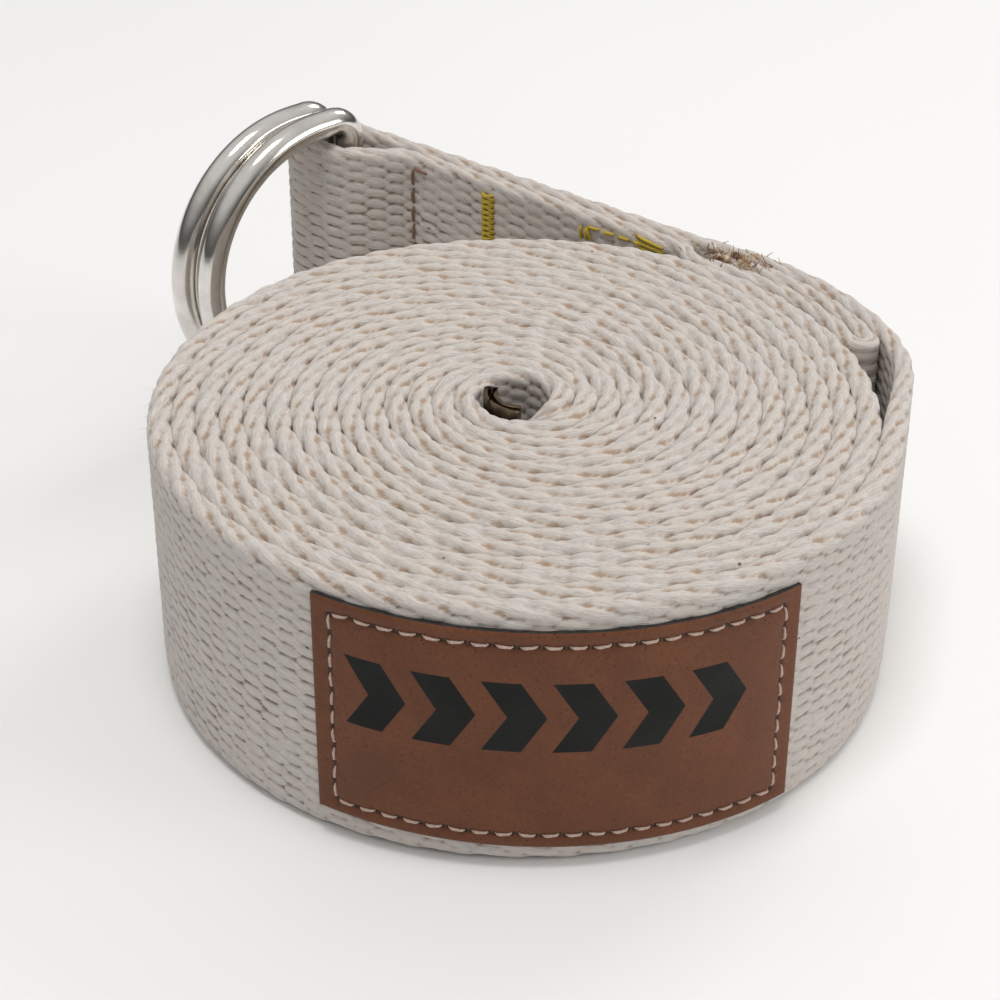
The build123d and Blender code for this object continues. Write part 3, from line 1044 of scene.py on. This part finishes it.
@dataclass
class Webbing:
    """The strap itself, built in lengths that meet end to end."""

    path: StrapPath
    sewing: TailSewing
    finish: CottonFinish = CottonFinish()
    weave: Weave = field(default_factory=Weave)
    woven_width: float = 37.05
    foot: float = 0.34
    coil_thickness: float = 2.62
    tail_thickness: float = 2.1
    tail_thinning: float = 20.0
    crimp_sweep: float = 100.0
    crimp_thickness: float = 1.05
    crimp_easing: float = 4.0
    crimp_shrink: float = 0.09
    core_dome: float = 0.8
    core_dome_reach: float = 20.0
    wave_height: float = 0.42
    wave_fade: float = 40.0
    climb_easing: float = 9.0
    pull_depths: tuple[float, ...] = (0.16, 0.26, 0.14, 0.14)
    pull_width: float = 0.9
    pull_margin: float = 2.6
    scorch_reach: float = 2.2
    scorch_grain: float = 1.3
    fine: float = 0.31
    hidden: float = 12.0
    blend_run: float = 14.0

    def __post_init__(self) -> None:
        """Prepare the section and the finish."""
        self.section = Section(self.woven_width, self.coil_thickness)
        self.cotton = self.finish.material()
        self.coil_length = float(self.path.starts[1])
        self.crimp_end = self.path.core_radius * radians(self.crimp_sweep)

    def thickness_share(self, distance: np.ndarray) -> np.ndarray:
        """Return the strap's thickness along its length, as a share of the coil's."""
        share = self.crimp_thickness / self.coil_thickness
        share = share + (1 - share) * ease((distance - self.crimp_end) / self.crimp_easing)
        thinned = ease((distance - self.coil_length) / self.tail_thinning)
        return share * (1 - (1 - self.tail_thickness / self.coil_thickness) * thinned)

    def lift(self, distance: np.ndarray) -> np.ndarray:
        """Return how far the strap rides above its even place: uneven turns and a domed core."""
        long_wave = 0.28 * np.sin(distance / 23.0 + 1.0)
        short_wave = 0.22 * np.sin(distance / 9.1 + 0.4 * np.sin(distance / 57.0))
        steady = 1 - ease((distance - self.coil_length + self.wave_fade) / self.wave_fade)
        half_turn = np.interp(distance, self.path.turn_ends, np.arange(len(self.path.turn_ends)))
        radius = self.path.core_radius + self.path.turn_pitch / 2 * half_turn
        dome = self.core_dome * (1 - ease(radius / self.core_dome_reach))
        return (self.wave_height * (0.5 + long_wave + short_wave) + dome) * steady

    def kink_ease(self, distance: np.ndarray) -> np.ndarray:
        """Return the extra height that rounds the change of slope where the tail starts to climb."""
        reach = self.climb_easing
        gap = np.abs(distance - self.path.starts[2])
        return np.where(gap < reach, self.path.ramp_along[2] * (reach - gap) ** 2 / (4 * reach), 0.0)

    def seam_pull(self, distance: np.ndarray, height: np.ndarray) -> np.ndarray:
        """Return how far the tail's seams draw its two layers in."""
        sewing, path = self.sewing, self.path
        rows = (sewing.tack_at, sewing.bartack_at, sewing.near, sewing.far)
        outer = distance - path.starts[2]
        inner = path.starts[2] + path.loop_length + path.meet_place - distance
        low, high = self.pull_margin, path.webbing_width - self.pull_margin
        held = ease(height - low) * ease(high - height)
        pull = np.zeros_like(distance)
        for row, depth in zip(rows, self.pull_depths):
            for place in (outer, inner):
                pull += depth * np.exp(-(((place - row) / self.pull_width) ** 2)) * held
        return pull

    def shape(self, distance: np.ndarray, place: np.ndarray) -> tuple[np.ndarray, np.ndarray, np.ndarray]:
        """Return the woven surface at distances along the strap and places round its section.

        Returns:
            Points of shape (n, 3), how deep each lies between the floats, and 1 on the rounded edges.
        """
        across, height, out, rise, edge = self.section.sample(place)
        bump, depth = self.weave.relief(distance, place, self.section.girth, edge)
        share = self.thickness_share(distance)
        low = ease(height / self.weave.foot_reach)
        bump = bump * (self.weave.foot_share + (1 - self.weave.foot_share) * low)
        bump = bump * np.minimum(1.0, share * 1.05) - self.seam_pull(distance, height)
        crimped = 1 - ease((distance - self.crimp_end) / self.crimp_easing)
        height = height - (height - self.woven_width / 2) * self.crimp_shrink * crimped
        points, sides = self.path.sample(distance)
        flat = across * share + out * bump
        tall = self.foot + height + rise * bump + self.lift(distance) + self.kink_ease(distance)
        return points + sides * flat[:, None] + UP * tall[:, None], depth, edge

    def scorched(self, distance: np.ndarray, place: np.ndarray) -> np.ndarray:
        """Return how scorched the cotton is, which it is only at its raw end."""
        near_end = ease((distance - self.path.length + self.scorch_reach) / 2.0)
        return near_end * (0.35 + 0.6 * speckle(np.floor(place / self.scorch_grain), np.floor(distance)))

    def length_of(self, name: str, start: float, end: float, spacing: float, places: np.ndarray) -> Mesh:
        """Build the closed mesh of one length of the strap.

        Args:
            name: The name of its working mesh.
            start: Distance along the strap where it starts.
            end: Distance along the strap where it ends.
            spacing: Distance between its rows of points.
            places: Places round the section, from 0 to the whole girth.

        Returns:
            The mesh, in millimetres.
        """
        rows, columns = round((end - start) / spacing), len(places) - 1
        bm = bmesh.new()
        bmesh.ops.create_grid(bm, x_segments=rows, y_segments=columns, size=0.5)
        mesh = bpy.data.meshes.new(name)
        bm.to_mesh(mesh)
        grid = read_points(mesh) + 0.5
        column = np.rint(grid[:, 1] * columns).astype(int)
        distance = np.linspace(start, end, rows + 1)[np.rint(grid[:, 0] * rows).astype(int)]
        place = places[column]
        points, depth, edge = self.shape(distance, place)
        write_points(mesh, points)
        write_attribute(mesh, "strand", distance, place, depth)
        write_attribute(mesh, "edge_and_scorch", edge, self.scorched(distance, place), 0 * edge)
        bm.clear()
        bm.from_mesh(mesh)
        bpy.data.meshes.remove(mesh)
        rim = [vert for vert, at in zip(bm.verts, column) if at in (0, columns)]
        bmesh.ops.remove_doubles(bm, verts=rim, dist=1e-5)
        ends = [item for item in bm.edges if item.is_boundary]
        bmesh.ops.holes_fill(bm, edges=ends, sides=0)
        bmesh.ops.recalc_face_normals(bm, faces=bm.faces)
        for item in ends:
            item.smooth = False
        return bm

    def build(self) -> None:
        turns, section = self.path.turn_ends, self.section
        inside = section.places(self.hidden, self.hidden, 0.29, 0.55)
        last = section.places(self.fine, self.hidden, 0.29, 0.5)
        tail = section.places(self.fine, self.fine, 0.30, 0.45)
        middle = self.path.starts[2] + self.path.tail_run
        coil, free = ("webbing_coil", "end_clamp"), ("webbing_tail", "webbing_last_back_turn")
        lengths = (
            ("webbing_core_turns", turns[0], turns[2], 0.36, tail, Body.ROLL, coil),
            ("webbing_inner_turns", turns[2], turns[15], 0.36, inside, Body.ROLL, coil),
            ("webbing_middle_turns", turns[15], turns[23], 0.36, inside, Body.ROLL, coil),
            ("webbing_outer_turns", turns[23], turns[27], 0.36, inside, Body.ROLL, coil),
            ("webbing_last_back_turn", turns[27], turns[28], 0.38, last, Body.ROLL, coil),
            ("webbing_last_front_turn", turns[28], turns[29], 0.38, last, Body.ROLL, coil),
            ("webbing_tail_strap", turns[29], middle, 0.4, tail, None, free),
            ("webbing_tail_return", middle, self.path.length, 0.42, tail, Body.TAIL, free),
        )
        for name, start, end, spacing, places, body, (node, on) in lengths:
            bm = self.length_of(name, start, end, spacing, places)
            piece = finish_piece(name, bm, [self.cotton], body, node)
            if body is None:
                self.join(piece)

    def join(self, piece: bpy.types.Object) -> None:
        """Bake the length's placement into its mesh."""
        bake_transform(piece)


# ---------------------------------------------------------------- the rings


@dataclass
class DRing:
    """A D-ring of bent wire, welded in the middle of its straight bar."""

    name: str
    body: Body
    joint: str
    heading: float
    wire: float
    inner_height: float
    corner: float = 3.6
    arm: float = 6.5
    sides: int = 28
    corner_cuts: int = 10
    bow_cuts: int = 64
    weld_swell: float = 1.06

    def sweep(self, bm: Mesh, ring: Edges, centre: Spot, turn: float, steps: int) -> Edges:
        """Spin an open ring of edges about an axis across the D, and return the ring at its end."""
        about = {"cent": (centre[0], 0, centre[1]), "axis": (0, 1, 0), "dvec": (0, 0, 0)}
        result = bmesh.ops.spin(bm, geom=ring, angle=radians(turn), steps=steps, use_merge=False, **about)
        return [item for item in result["geom_last"] if isinstance(item, bmesh.types.BMEdge)]

    def run(self, bm: Mesh, ring: Edges, move: Spot, steps: int) -> Edges:
        """Draw an open ring of edges out in a straight line, and return the ring at its end."""
        for _ in range(steps):
            result = bmesh.ops.extrude_edge_only(bm, edges=ring)
            verts = [item for item in result["geom"] if isinstance(item, bmesh.types.BMVert)]
            edges = [item for item in result["geom"] if isinstance(item, bmesh.types.BMEdge)]
            bmesh.ops.translate(bm, verts=verts, vec=(move[0] / steps, 0, move[1] / steps))
            ring = [edge for edge in edges if all(vert in verts for vert in edge.verts)]
        return ring

    def build(self) -> None:
        """Build the ring in its own plane, stand it at its bar and tie it to its body."""
        half = (self.inner_height + self.wire) / 2
        rise, reach = half - self.corner, self.arm - self.corner
        bm = bmesh.new()
        bmesh.ops.create_circle(bm, cap_ends=False, segments=self.sides, radius=self.wire / 2)
        ring = self.run(bm, list(bm.edges), (0, rise), self.corner_cuts)
        ring = self.sweep(bm, ring, (self.corner, rise), 90, self.corner_cuts)
        ring = self.run(bm, ring, (reach, 0), 1)
        ring = self.sweep(bm, ring, (self.arm, 0), 180, self.bow_cuts)
        ring = self.run(bm, ring, (-reach, 0), 1)
        ring = self.sweep(bm, ring, (self.corner, -rise), 90, self.corner_cuts)
        self.run(bm, ring, (0, rise), self.corner_cuts)
        bmesh.ops.remove_doubles(bm, verts=bm.verts, dist=0.002)
        weld = [vert for vert in bm.verts if abs(vert.co.x) < self.wire and abs(vert.co.z) < 0.01]
        bmesh.ops.scale(bm, vec=(self.weld_swell, self.weld_swell, 1.0), verts=weld)
        bmesh.ops.recalc_face_normals(bm, faces=bm.faces)
        turn = Matrix.Rotation(radians(self.heading), 4, "Z")
        bmesh.ops.transform(bm, matrix=turn, verts=bm.verts)
        bmesh.ops.translate(bm, verts=bm.verts, vec=tuple(joint_place(self.joint)))
        finish_piece(f"{self.name}_wire", bm, [NICKEL.material()], self.body, self.name)


# ---------------------------------------------------------------- loose fibres


@dataclass
class LooseFibres:
    """The frayed, scorched raw end of the hem, and the lint that stands on the rolled edges."""

    webbing: Webbing
    fray_count: int = 260
    fray_radius: float = 0.11
    fray_shift: float = 2.5
    fray_depth: float = 0.9
    fray_spread: Spot = (2.4, 0.95)
    fray_reach: Spot = (1.0, 3.2)
    beads: int = 7
    bead_radius: Spot = (0.3, 0.75)
    bead_rise: float = 0.5
    bead_dents: float = 0.07
    lint_count: int = 1500
    lint_radius: float = 0.028
    lint_reach: Spot = (0.5, 1.5)
    lint_band: float = 2.2
    lint_root: float = 0.08

    def fibre(self, bm: Mesh, foot: Vector, lean: Vector, length: float, radius: float) -> None:
        """Stand one tapering fibre on a point.

        Args:
            bm: The mesh it joins.
            foot: Where it starts, in millimetres.
            lean: The direction it grows in.
            length: Its length.
            radius: Its radius at the foot.
        """
        turn = lean.to_track_quat("Z", "Y").to_matrix().to_4x4()
        place = Matrix.Translation(foot + lean.normalized() * length / 2) @ turn
        ends = {"radius1": radius, "radius2": radius * 0.45}
        bmesh.ops.create_cone(bm, cap_ends=True, segments=3, depth=length, matrix=place, **ends)

    def fray(self) -> None:
        """Build the tuft of the raw end, with small melted beads among its fibres."""
        draw = np.random.default_rng(11)
        path = self.webbing.path
        along, out = Vector(path.ramp_along), Vector(path.ramp_out)
        points, _ = path.sample(np.array([path.length]))
        root = Vector(points[0]) + Vector((0.0, 0.0, self.webbing.foot + self.webbing.woven_width))
        root -= along * self.fray_shift
        bm = bmesh.new()
        for _ in range(self.fray_count):
            shift = draw.normal(0.0, 1.0, 2) * self.fray_spread
            foot = root + along * shift[0] + out * shift[1]
            foot -= Vector((0.0, 0.0, draw.uniform(0.0, self.fray_depth)))
            for _ in range(2):
                lean = Vector((*draw.normal(0.0, 0.75, 2), draw.uniform(0.25, 1.0))).normalized()
                length = draw.uniform(*self.fray_reach) / 2
                self.fibre(bm, foot, lean, length, self.fray_radius)
                foot = foot + lean * length * 0.96
        for _ in range(self.beads):
            shift = draw.normal(0.0, 0.8, 2) * self.fray_spread
            middle = root + along * shift[0] + out * shift[1] + Vector((0.0, 0.0, self.bead_rise))
            radius = draw.uniform(*self.bead_radius)
            place = Matrix.Translation(middle)
            bead = bmesh.ops.create_icosphere(bm, subdivisions=2, radius=radius, matrix=place)
            for vert in bead["verts"]:
                vert.co += Vector(draw.normal(0.0, self.bead_dents, 3))
        bmesh.ops.recalc_face_normals(bm, faces=bm.faces)
        material = self.webbing.finish.scorched_material()
        finish_piece("raw_end_fibres", bm, [material], Body.TAIL)

    def lint(self) -> None:
        """Scatter short fine fibres over the top edges of the roll."""
        draw = np.random.default_rng(23)
        webbing = self.webbing
        turns = webbing.path.turn_ends
        distance = np.sqrt(draw.uniform(turns[3] ** 2, turns[29] ** 2, self.lint_count))
        place = webbing.section.girth / 2 + draw.uniform(-self.lint_band, self.lint_band, self.lint_count)
        across, height, out, rise, edge = webbing.section.sample(place)
        bump, _ = webbing.weave.relief(distance, place, webbing.section.girth, edge)
        bump -= self.lint_root
        points, sides = webbing.path.sample(distance)
        tall = webbing.foot + height + rise * bump + webbing.lift(distance)
        points = points + sides * (across + out * bump)[:, None] + UP * tall[:, None]
        bm = bmesh.new()
        for point, side, lift in zip(points, sides * out[:, None], rise):
            lean = Vector(side) + Vector((0.0, 0.0, lift)) + Vector(draw.normal(0.0, 0.8, 3))
            self.fibre(bm, Vector(point), lean, draw.uniform(*self.lint_reach), self.lint_radius)
        bmesh.ops.recalc_face_normals(bm, faces=bm.faces)
        material = self.webbing.finish.lint_material()
        finish_piece("webbing_lint", bm, [material], Body.ROLL)

    def build(self) -> None:
        """Build the raw end and the lint."""
        self.fray()
        self.lint()


# ---------------------------------------------------------------- the patch


@dataclass
class Patch:
    """The leather patch, bent round the front of the roll and sewn on a little askew."""

    path: StrapPath
    finish: LeatherFinish = LeatherFinish()
    length: float = 63.5
    height: float = 32.0
    thickness: float = 1.1
    angle: float = -86.0
    foot: float = 3.2
    tilt: float = 2.0
    gap: float = 0.06
    stitch_pitch: float = 2.9
    stitch_length: float = 2.15
    stitch_sway: float = 0.12
    inset: float = 2.7
    row_inset: float = 1.95
    thread_sink: float = 0.08
    bobbin_clearance: float = 0.1
    spacing: float = 0.36
    bulge: float = 0.16
    bulge_run: float = 4.0
    crown: float = 0.28
    crown_reach: float = 0.5
    crown_shrink: float = 0.10
    hole_depth: float = 0.3
    hole_radius: float = 0.42
    groove_depth: float = 0.14
    groove_width: float = 0.75

    def __post_init__(self) -> None:
        """Work out the directions of the patch."""
        turn = radians(self.angle)
        self.radial = np.array([cos(turn), sin(turn), 0.0])
        tangent = np.array([-sin(turn), cos(turn), 0.0])
        self.falling = tangent * cos(radians(self.tilt)) - UP * sin(radians(self.tilt))
        self.centre = np.array([*self.path.front_centre, 0.0])
        self.seat = self.path.outer_radius + self.path.webbing_thickness / 2 + self.gap
        self.face = self.seat + self.thickness

    def locate(self, along: np.ndarray, height: np.ndarray, radius: np.ndarray) -> np.ndarray:
        """Return points of the bent patch from flat places on it."""
        angle = along / self.face
        reach = np.sin(angle)[..., None] * self.falling + np.cos(angle)[..., None] * self.radial
        tall = self.foot + np.asarray(height)[..., None]
        return self.centre + reach * np.asarray(radius)[..., None] + UP * tall

    def stitches(self) -> list[tuple[Spot, Spot]]:
        """Return the two ends of every stitch as flat places, row by row and column by column."""
        wide = self.length - 2 * self.inset
        tall = self.height - 2 * self.row_inset
        columns, rows = round(wide / self.stitch_pitch), round(tall / self.stitch_pitch)
        half = self.stitch_length / 2
        ends = []
        for level in (self.row_inset, self.height - self.row_inset):
            for index in range(columns):
                middle = (index + 0.5) * wide / columns - wide / 2
                sway = self.stitch_sway * sin(2.3 * index + level)
                ends.append(((middle - half, level + sway), (middle + half, level - sway)))
        for side in (-wide / 2, wide / 2):
            for index in range(rows):
                middle = self.row_inset + (index + 0.5) * tall / rows
                sway = self.stitch_sway * sin(1.9 * index + side)
                ends.append(((side + sway, middle - half), (side - sway, middle + half)))
        return ends

    def flat_panel(self) -> tuple[bpy.types.Mesh, list[int]]:
        """Return the patch as a fine closed slab one unit in size, and the numbers of its side faces."""
        columns, rows = round(self.length / self.spacing), round(self.height / self.spacing)
        bm = bmesh.new()
        bmesh.ops.create_grid(bm, x_segments=columns, y_segments=rows, size=0.5)
        underside = list(bm.faces)
        bmesh.ops.recalc_face_normals(bm, faces=underside)
        result = bmesh.ops.extrude_face_region(bm, geom=underside, use_keep_orig=True)
        raised = [item for item in result["geom"] if isinstance(item, bmesh.types.BMVert)]
        bmesh.ops.translate(bm, verts=raised, vec=(0, 0, 1))
        mesh = bpy.data.meshes.new("panel")
        bm.to_mesh(mesh)
        sides = [face.index for face in bm.faces if abs(face.normal.z) < 0.5]
        bm.free()
        return mesh, sides

    def dents(self, along: np.ndarray, height: np.ndarray) -> np.ndarray:
        """Return 1 at the needle holes, at both ends of every stitch, and 0 away from them."""
        dent = np.zeros(len(along))
        for mark in (end for ends in self.stitches() for end in ends):
            apart = (along - mark[0]) ** 2 + (height - mark[1]) ** 2
            dent = np.maximum(dent, np.exp(-apart / self.hole_radius**2))
        return dent

    def build_leather(self) -> None:
        """Build the leather from a fine slab, bent and dimpled, with black cut edges."""
        mesh, sides = self.flat_panel()
        grid = read_points(mesh)
        along, height = grid[:, 0] * self.length, (grid[:, 1] + 0.5) * self.height
        top = grid[:, 2] > 0.5
        end_gap = self.length / 2 - np.abs(along)
        rim = np.minimum(end_gap, np.minimum(height, self.height - height))
        crown = np.clip(1 - rim / self.crown_reach, 0, 1) ** 2
        dent = self.dents(along, height)
        groove = np.exp(-(((rim - self.row_inset) / self.groove_width) ** 2))
        pillow = self.bulge * ease((rim - self.inset) / self.bulge_run)
        lifted = self.thickness - self.crown * crown - self.hole_depth * dent
        lifted += pillow - self.groove_depth * groove
        shrink = np.where(end_gap < 0.4, self.crown_shrink * crown, 0.0) * top
        radius = self.seat + np.where(top, lifted, 0.0)
        write_points(mesh, self.locate(along - np.sign(along) * shrink, height, radius))
        write_attribute(mesh, "panel", along, height, dent * top)
        bm = bmesh.new()
        bm.from_mesh(mesh)
        bpy.data.meshes.remove(mesh)
        bm.faces.ensure_lookup_table()
        for number in sides:
            bm.faces[number].material_index = 1
        bmesh.ops.recalc_face_normals(bm, faces=bm.faces)
        sharpen(bm, 50.0)
        materials = [self.finish.material(), self.finish.edge_material()]
        finish_piece("leather_patch_panel", bm, materials, Body.ROLL, "leather_patch")

    def build_sewing(self) -> None:
        """Sew the patch, with its bobbin thread behind the webbing."""
        behind = self.path.outer_radius - self.path.webbing_thickness / 2 - self.bobbin_clearance
        sides = (
            ("needle", Stitch(thread=0.44, proud=0.24, bow=0.03), self.face - self.thread_sink, 1),
            ("bobbin", Stitch(thread=0.5, proud=0.1), behind, -1),
        )
        for side, stitch, radius, facing in sides:
            name = f"patch_{side}"
            seam = Seam(f"{name}_stitches", f"{name}_thread", Body.ROLL, CREAM_THREAD, Slot.CREAM, stitch)
            for first, last in self.stitches():
                middle = np.array((first[0] + last[0]) / 2)
                outward = (self.locate(middle, np.array(0.0), np.array(1.0)) - self.centre) * (1, 1, 0)
                ends = [self.locate(*np.array([*end, radius])) for end in (first, last)]
                seam.add(*ends, outward * facing)
            seam.build()

    def build(self) -> None:
        """Build the leather and its sewing."""
        self.build_leather()
        self.build_sewing()


# ---------------------------------------------------------------- the crimped end


@dataclass
class EndClamp:
    """The folded sheet that grips the strap's inner end, with a row of crimp dents."""

    path: StrapPath
    sheet: float = 0.6
    grip: float = 1.2
    grip_clearance: float = 0.02
    sweep: float = 93.0
    height: float = 37.0
    rise: float = 1.3
    fold_share: float = 0.75
    fold_swell: float = 0.42
    dent_pitch: float = 4.6
    dent_depth: float = 0.16
    dent_place: float = 5.0
    dent_reach: float = 2.0
    columns: int = 90
    rows: int = 74
    edge_break: float = 0.1

    def section(self, run: float) -> tuple[float, float]:
        """Return how far round the core a place on the folded sheet lies, in radians, and its radius."""
        core = self.path.core_radius
        reach = self.grip / 2 + self.grip_clearance + self.sheet / 2
        cheek = core * radians(self.sweep)
        fold = pi * reach * self.fold_share
        distance = run * (2 * cheek + fold)
        if distance < cheek:
            return (cheek - distance) / core, core - reach
        if distance > cheek + fold:
            return (distance - cheek - fold) / core, core + reach
        share = (distance - cheek) / fold * pi
        return -self.fold_swell * sin(share) / core, core - reach * cos(share)

    def dent(self, turn: float, level: float) -> float:
        """Return how deep the crimp dents are at a place on a cheek of the clamp."""
        if turn <= 0:
            return 0.0
        row = max(0.0, cos(2 * pi * (level - self.height / 2) / self.dent_pitch))
        place = min(abs(turn * self.path.core_radius - self.dent_place), self.dent_reach)
        return self.dent_depth * row**2 * cos(place * pi / (2 * self.dent_reach)) ** 2

    def build(self) -> None:
        """Bend a fine grid into the clamp's U, dent it and give it its thickness."""
        path = self.path
        bottom = (path.webbing_width - self.height) / 2 + self.rise
        start = radians(path.release_angle + 180)
        bm = bmesh.new()
        bmesh.ops.create_grid(bm, x_segments=self.columns, y_segments=self.rows, size=0.5)
        for vert in bm.verts:
            level = (vert.co.y + 0.5) * self.height
            turn, radius = self.section(vert.co.x + 0.5)
            dent = self.dent(turn, level)
            radius += dent if radius < path.core_radius else -dent
            x = path.front_centre[0] + radius * cos(start + turn)
            y = path.front_centre[1] + radius * sin(start + turn)
            vert.co = Vector((x, y, bottom + level))
        bmesh.ops.recalc_face_normals(bm, faces=bm.faces)
        bmesh.ops.solidify(bm, geom=bm.faces, thickness=self.sheet)
        bmesh.ops.recalc_face_normals(bm, faces=bm.faces)
        rims = [edge for edge in bm.edges if edge.is_manifold and edge.calc_face_angle(0) > 1.0]
        bmesh.ops.bevel(
            bm, geom=rims, offset=self.edge_break, affect="EDGES", segments=2, profile=0.5, material=-1
        )
        bmesh.ops.recalc_face_normals(bm, faces=bm.faces)
        finish_piece("end_clamp_sheet", bm, [BRONZE.material()], Body.ROLL, "end_clamp")


# ---------------------------------------------------------------- the studio


@dataclass(frozen=True)
class Lamp:
    """A soft square lamp that faces the strap. Its place and size are in metres."""

    name: str
    place: Triple
    size: float
    power: float
    tint: Colour

    def hang(self, target: Triple) -> None:
        """Add the lamp to the scene, facing a target."""
        light = bpy.data.lights.new(self.name, "AREA")
        light.shape = "RECTANGLE"
        light.size = light.size_y = self.size
        light.energy = self.power
        light.color = self.tint
        lamp = bpy.data.objects.new(self.name, light)
        lamp.location = self.place
        lamp.rotation_euler = (Vector(target) - Vector(self.place)).to_track_quat("-Z", "Y").to_euler()
        bpy.context.scene.collection.objects.link(lamp)


@dataclass
class Studio:
    """A plain pale floor, soft lights and the camera. Its places are in metres."""

    target: Triple = (0.0, 0.0, 0.02)
    floor_half: float = 4.0
    floor_tone: float = 0.93
    floor_bright_tone: float = 0.95
    sky_tint: Colour = (1.0, 0.99, 0.975)
    sky_band: Spot = (0.05, 0.8)
    horizon: float = 0.08
    zenith: float = 0.66
    lens: float = 85.99
    sensor: float = 36.0
    eye: Triple = (-0.00769, -0.29261, 0.19499)
    heading: float = -0.944
    pitch: float = 57.929
    roll: float = 0.218
    lamps: tuple[Lamp, ...] = (
        Lamp("key_lamp", (-0.06, -0.10, 0.90), 0.26, 2.7, (1.0, 0.99, 0.97)),
        Lamp("right_lamp", (0.75, -0.25, 0.30), 0.35, 1.5, (1.0, 0.985, 0.96)),
        Lamp("back_lamp", (0.45, 0.55, 0.6), 0.3, 1.2, (1.0, 0.98, 0.96)),
    )

    def floor(self) -> None:
        """Lay the floor."""
        work = Shading("pale_floor", roughness=0.85)
        cloud = work.noise(work.place(), 0.004, detail=2.0)
        tones = [(tone, tone, tone) for tone in (self.floor_tone, self.floor_bright_tone)]
        work.colour(work.mix(work.ramp(cloud, 0.3, 0.7), *tones))
        bm = bmesh.new()
        bmesh.ops.create_grid(bm, x_segments=2, y_segments=2, size=self.floor_half)
        mesh = bpy.data.meshes.new("floor")
        bm.to_mesh(mesh)
        bm.free()
        mesh.materials.append(work.material)
        floor = bpy.data.objects.new("floor", mesh)
        bpy.context.scene.collection.objects.link(floor)

    def sky(self) -> None:
        """Set the sky, which is darker at the horizon than overhead."""
        world = bpy.data.worlds.new("studio")
        world.use_nodes = True
        nodes, links = world.node_tree.nodes, world.node_tree.links
        parts = nodes.new("ShaderNodeSeparateXYZ")
        links.new(nodes.new("ShaderNodeTexCoord").outputs["Generated"], parts.inputs[0])
        dome = nodes.new("ShaderNodeMapRange")
        dome.interpolation_type = "SMOOTHSTEP"
        links.new(parts.outputs["Z"], dome.inputs["Value"])
        values = (*self.sky_band, self.horizon, self.zenith)
        for socket, value in zip(("From Min", "From Max", "To Min", "To Max"), values):
            dome.inputs[socket].default_value = value
        sky = nodes["Background"]
        sky.inputs[0].default_value = (*self.sky_tint, 1.0)
        links.new(dome.outputs["Result"], sky.inputs[1])
        bpy.context.scene.world = world
        bpy.context.scene.view_settings.view_transform = "Standard"

    def camera(self) -> None:
        """Set the camera."""
        lens = bpy.data.cameras.new("camera")
        lens.lens = self.lens
        lens.sensor_width = self.sensor
        camera = bpy.data.objects.new("camera", lens)
        camera.location = self.eye
        heading = Matrix.Rotation(radians(self.heading), 3, "Z")
        pitch = Matrix.Rotation(radians(self.pitch), 3, "X")
        roll = Matrix.Rotation(radians(self.roll), 3, "Z")
        camera.rotation_euler = (heading @ pitch @ roll).to_euler()
        bpy.context.scene.collection.objects.link(camera)
        bpy.context.scene.camera = camera

    def build(self) -> None:
        """Build the floor, the sky, the lamps and the camera."""
        self.floor()
        self.sky()
        for lamp in self.lamps:
            lamp.hang(self.target)
        self.camera()


def main() -> None:
    """Build the strap piece by piece."""
    path = StrapPath()
    log.info("strap length %.1f mm, roll axis %s", path.length, np.round(path.roll_axis, 3))
    Studio().build()
    sewing = TailSewing(path)
    webbing = Webbing(path, sewing)
    webbing.build()
    LooseFibres(webbing).build()
    for name, body, joint in (
        ("ring_front", Body.FRONT_RING, "front_ring_swing"),
        ("ring_back", Body.BACK_RING, "back_ring_swing"),
    ):
        DRing(name, body, joint, path.ring_heading, path.ring_wire, path.ring_inner_height).build()
    Patch(path).build()
    sewing.build()
    EndClamp(path).build()


if __name__ == "__main__":
    main()
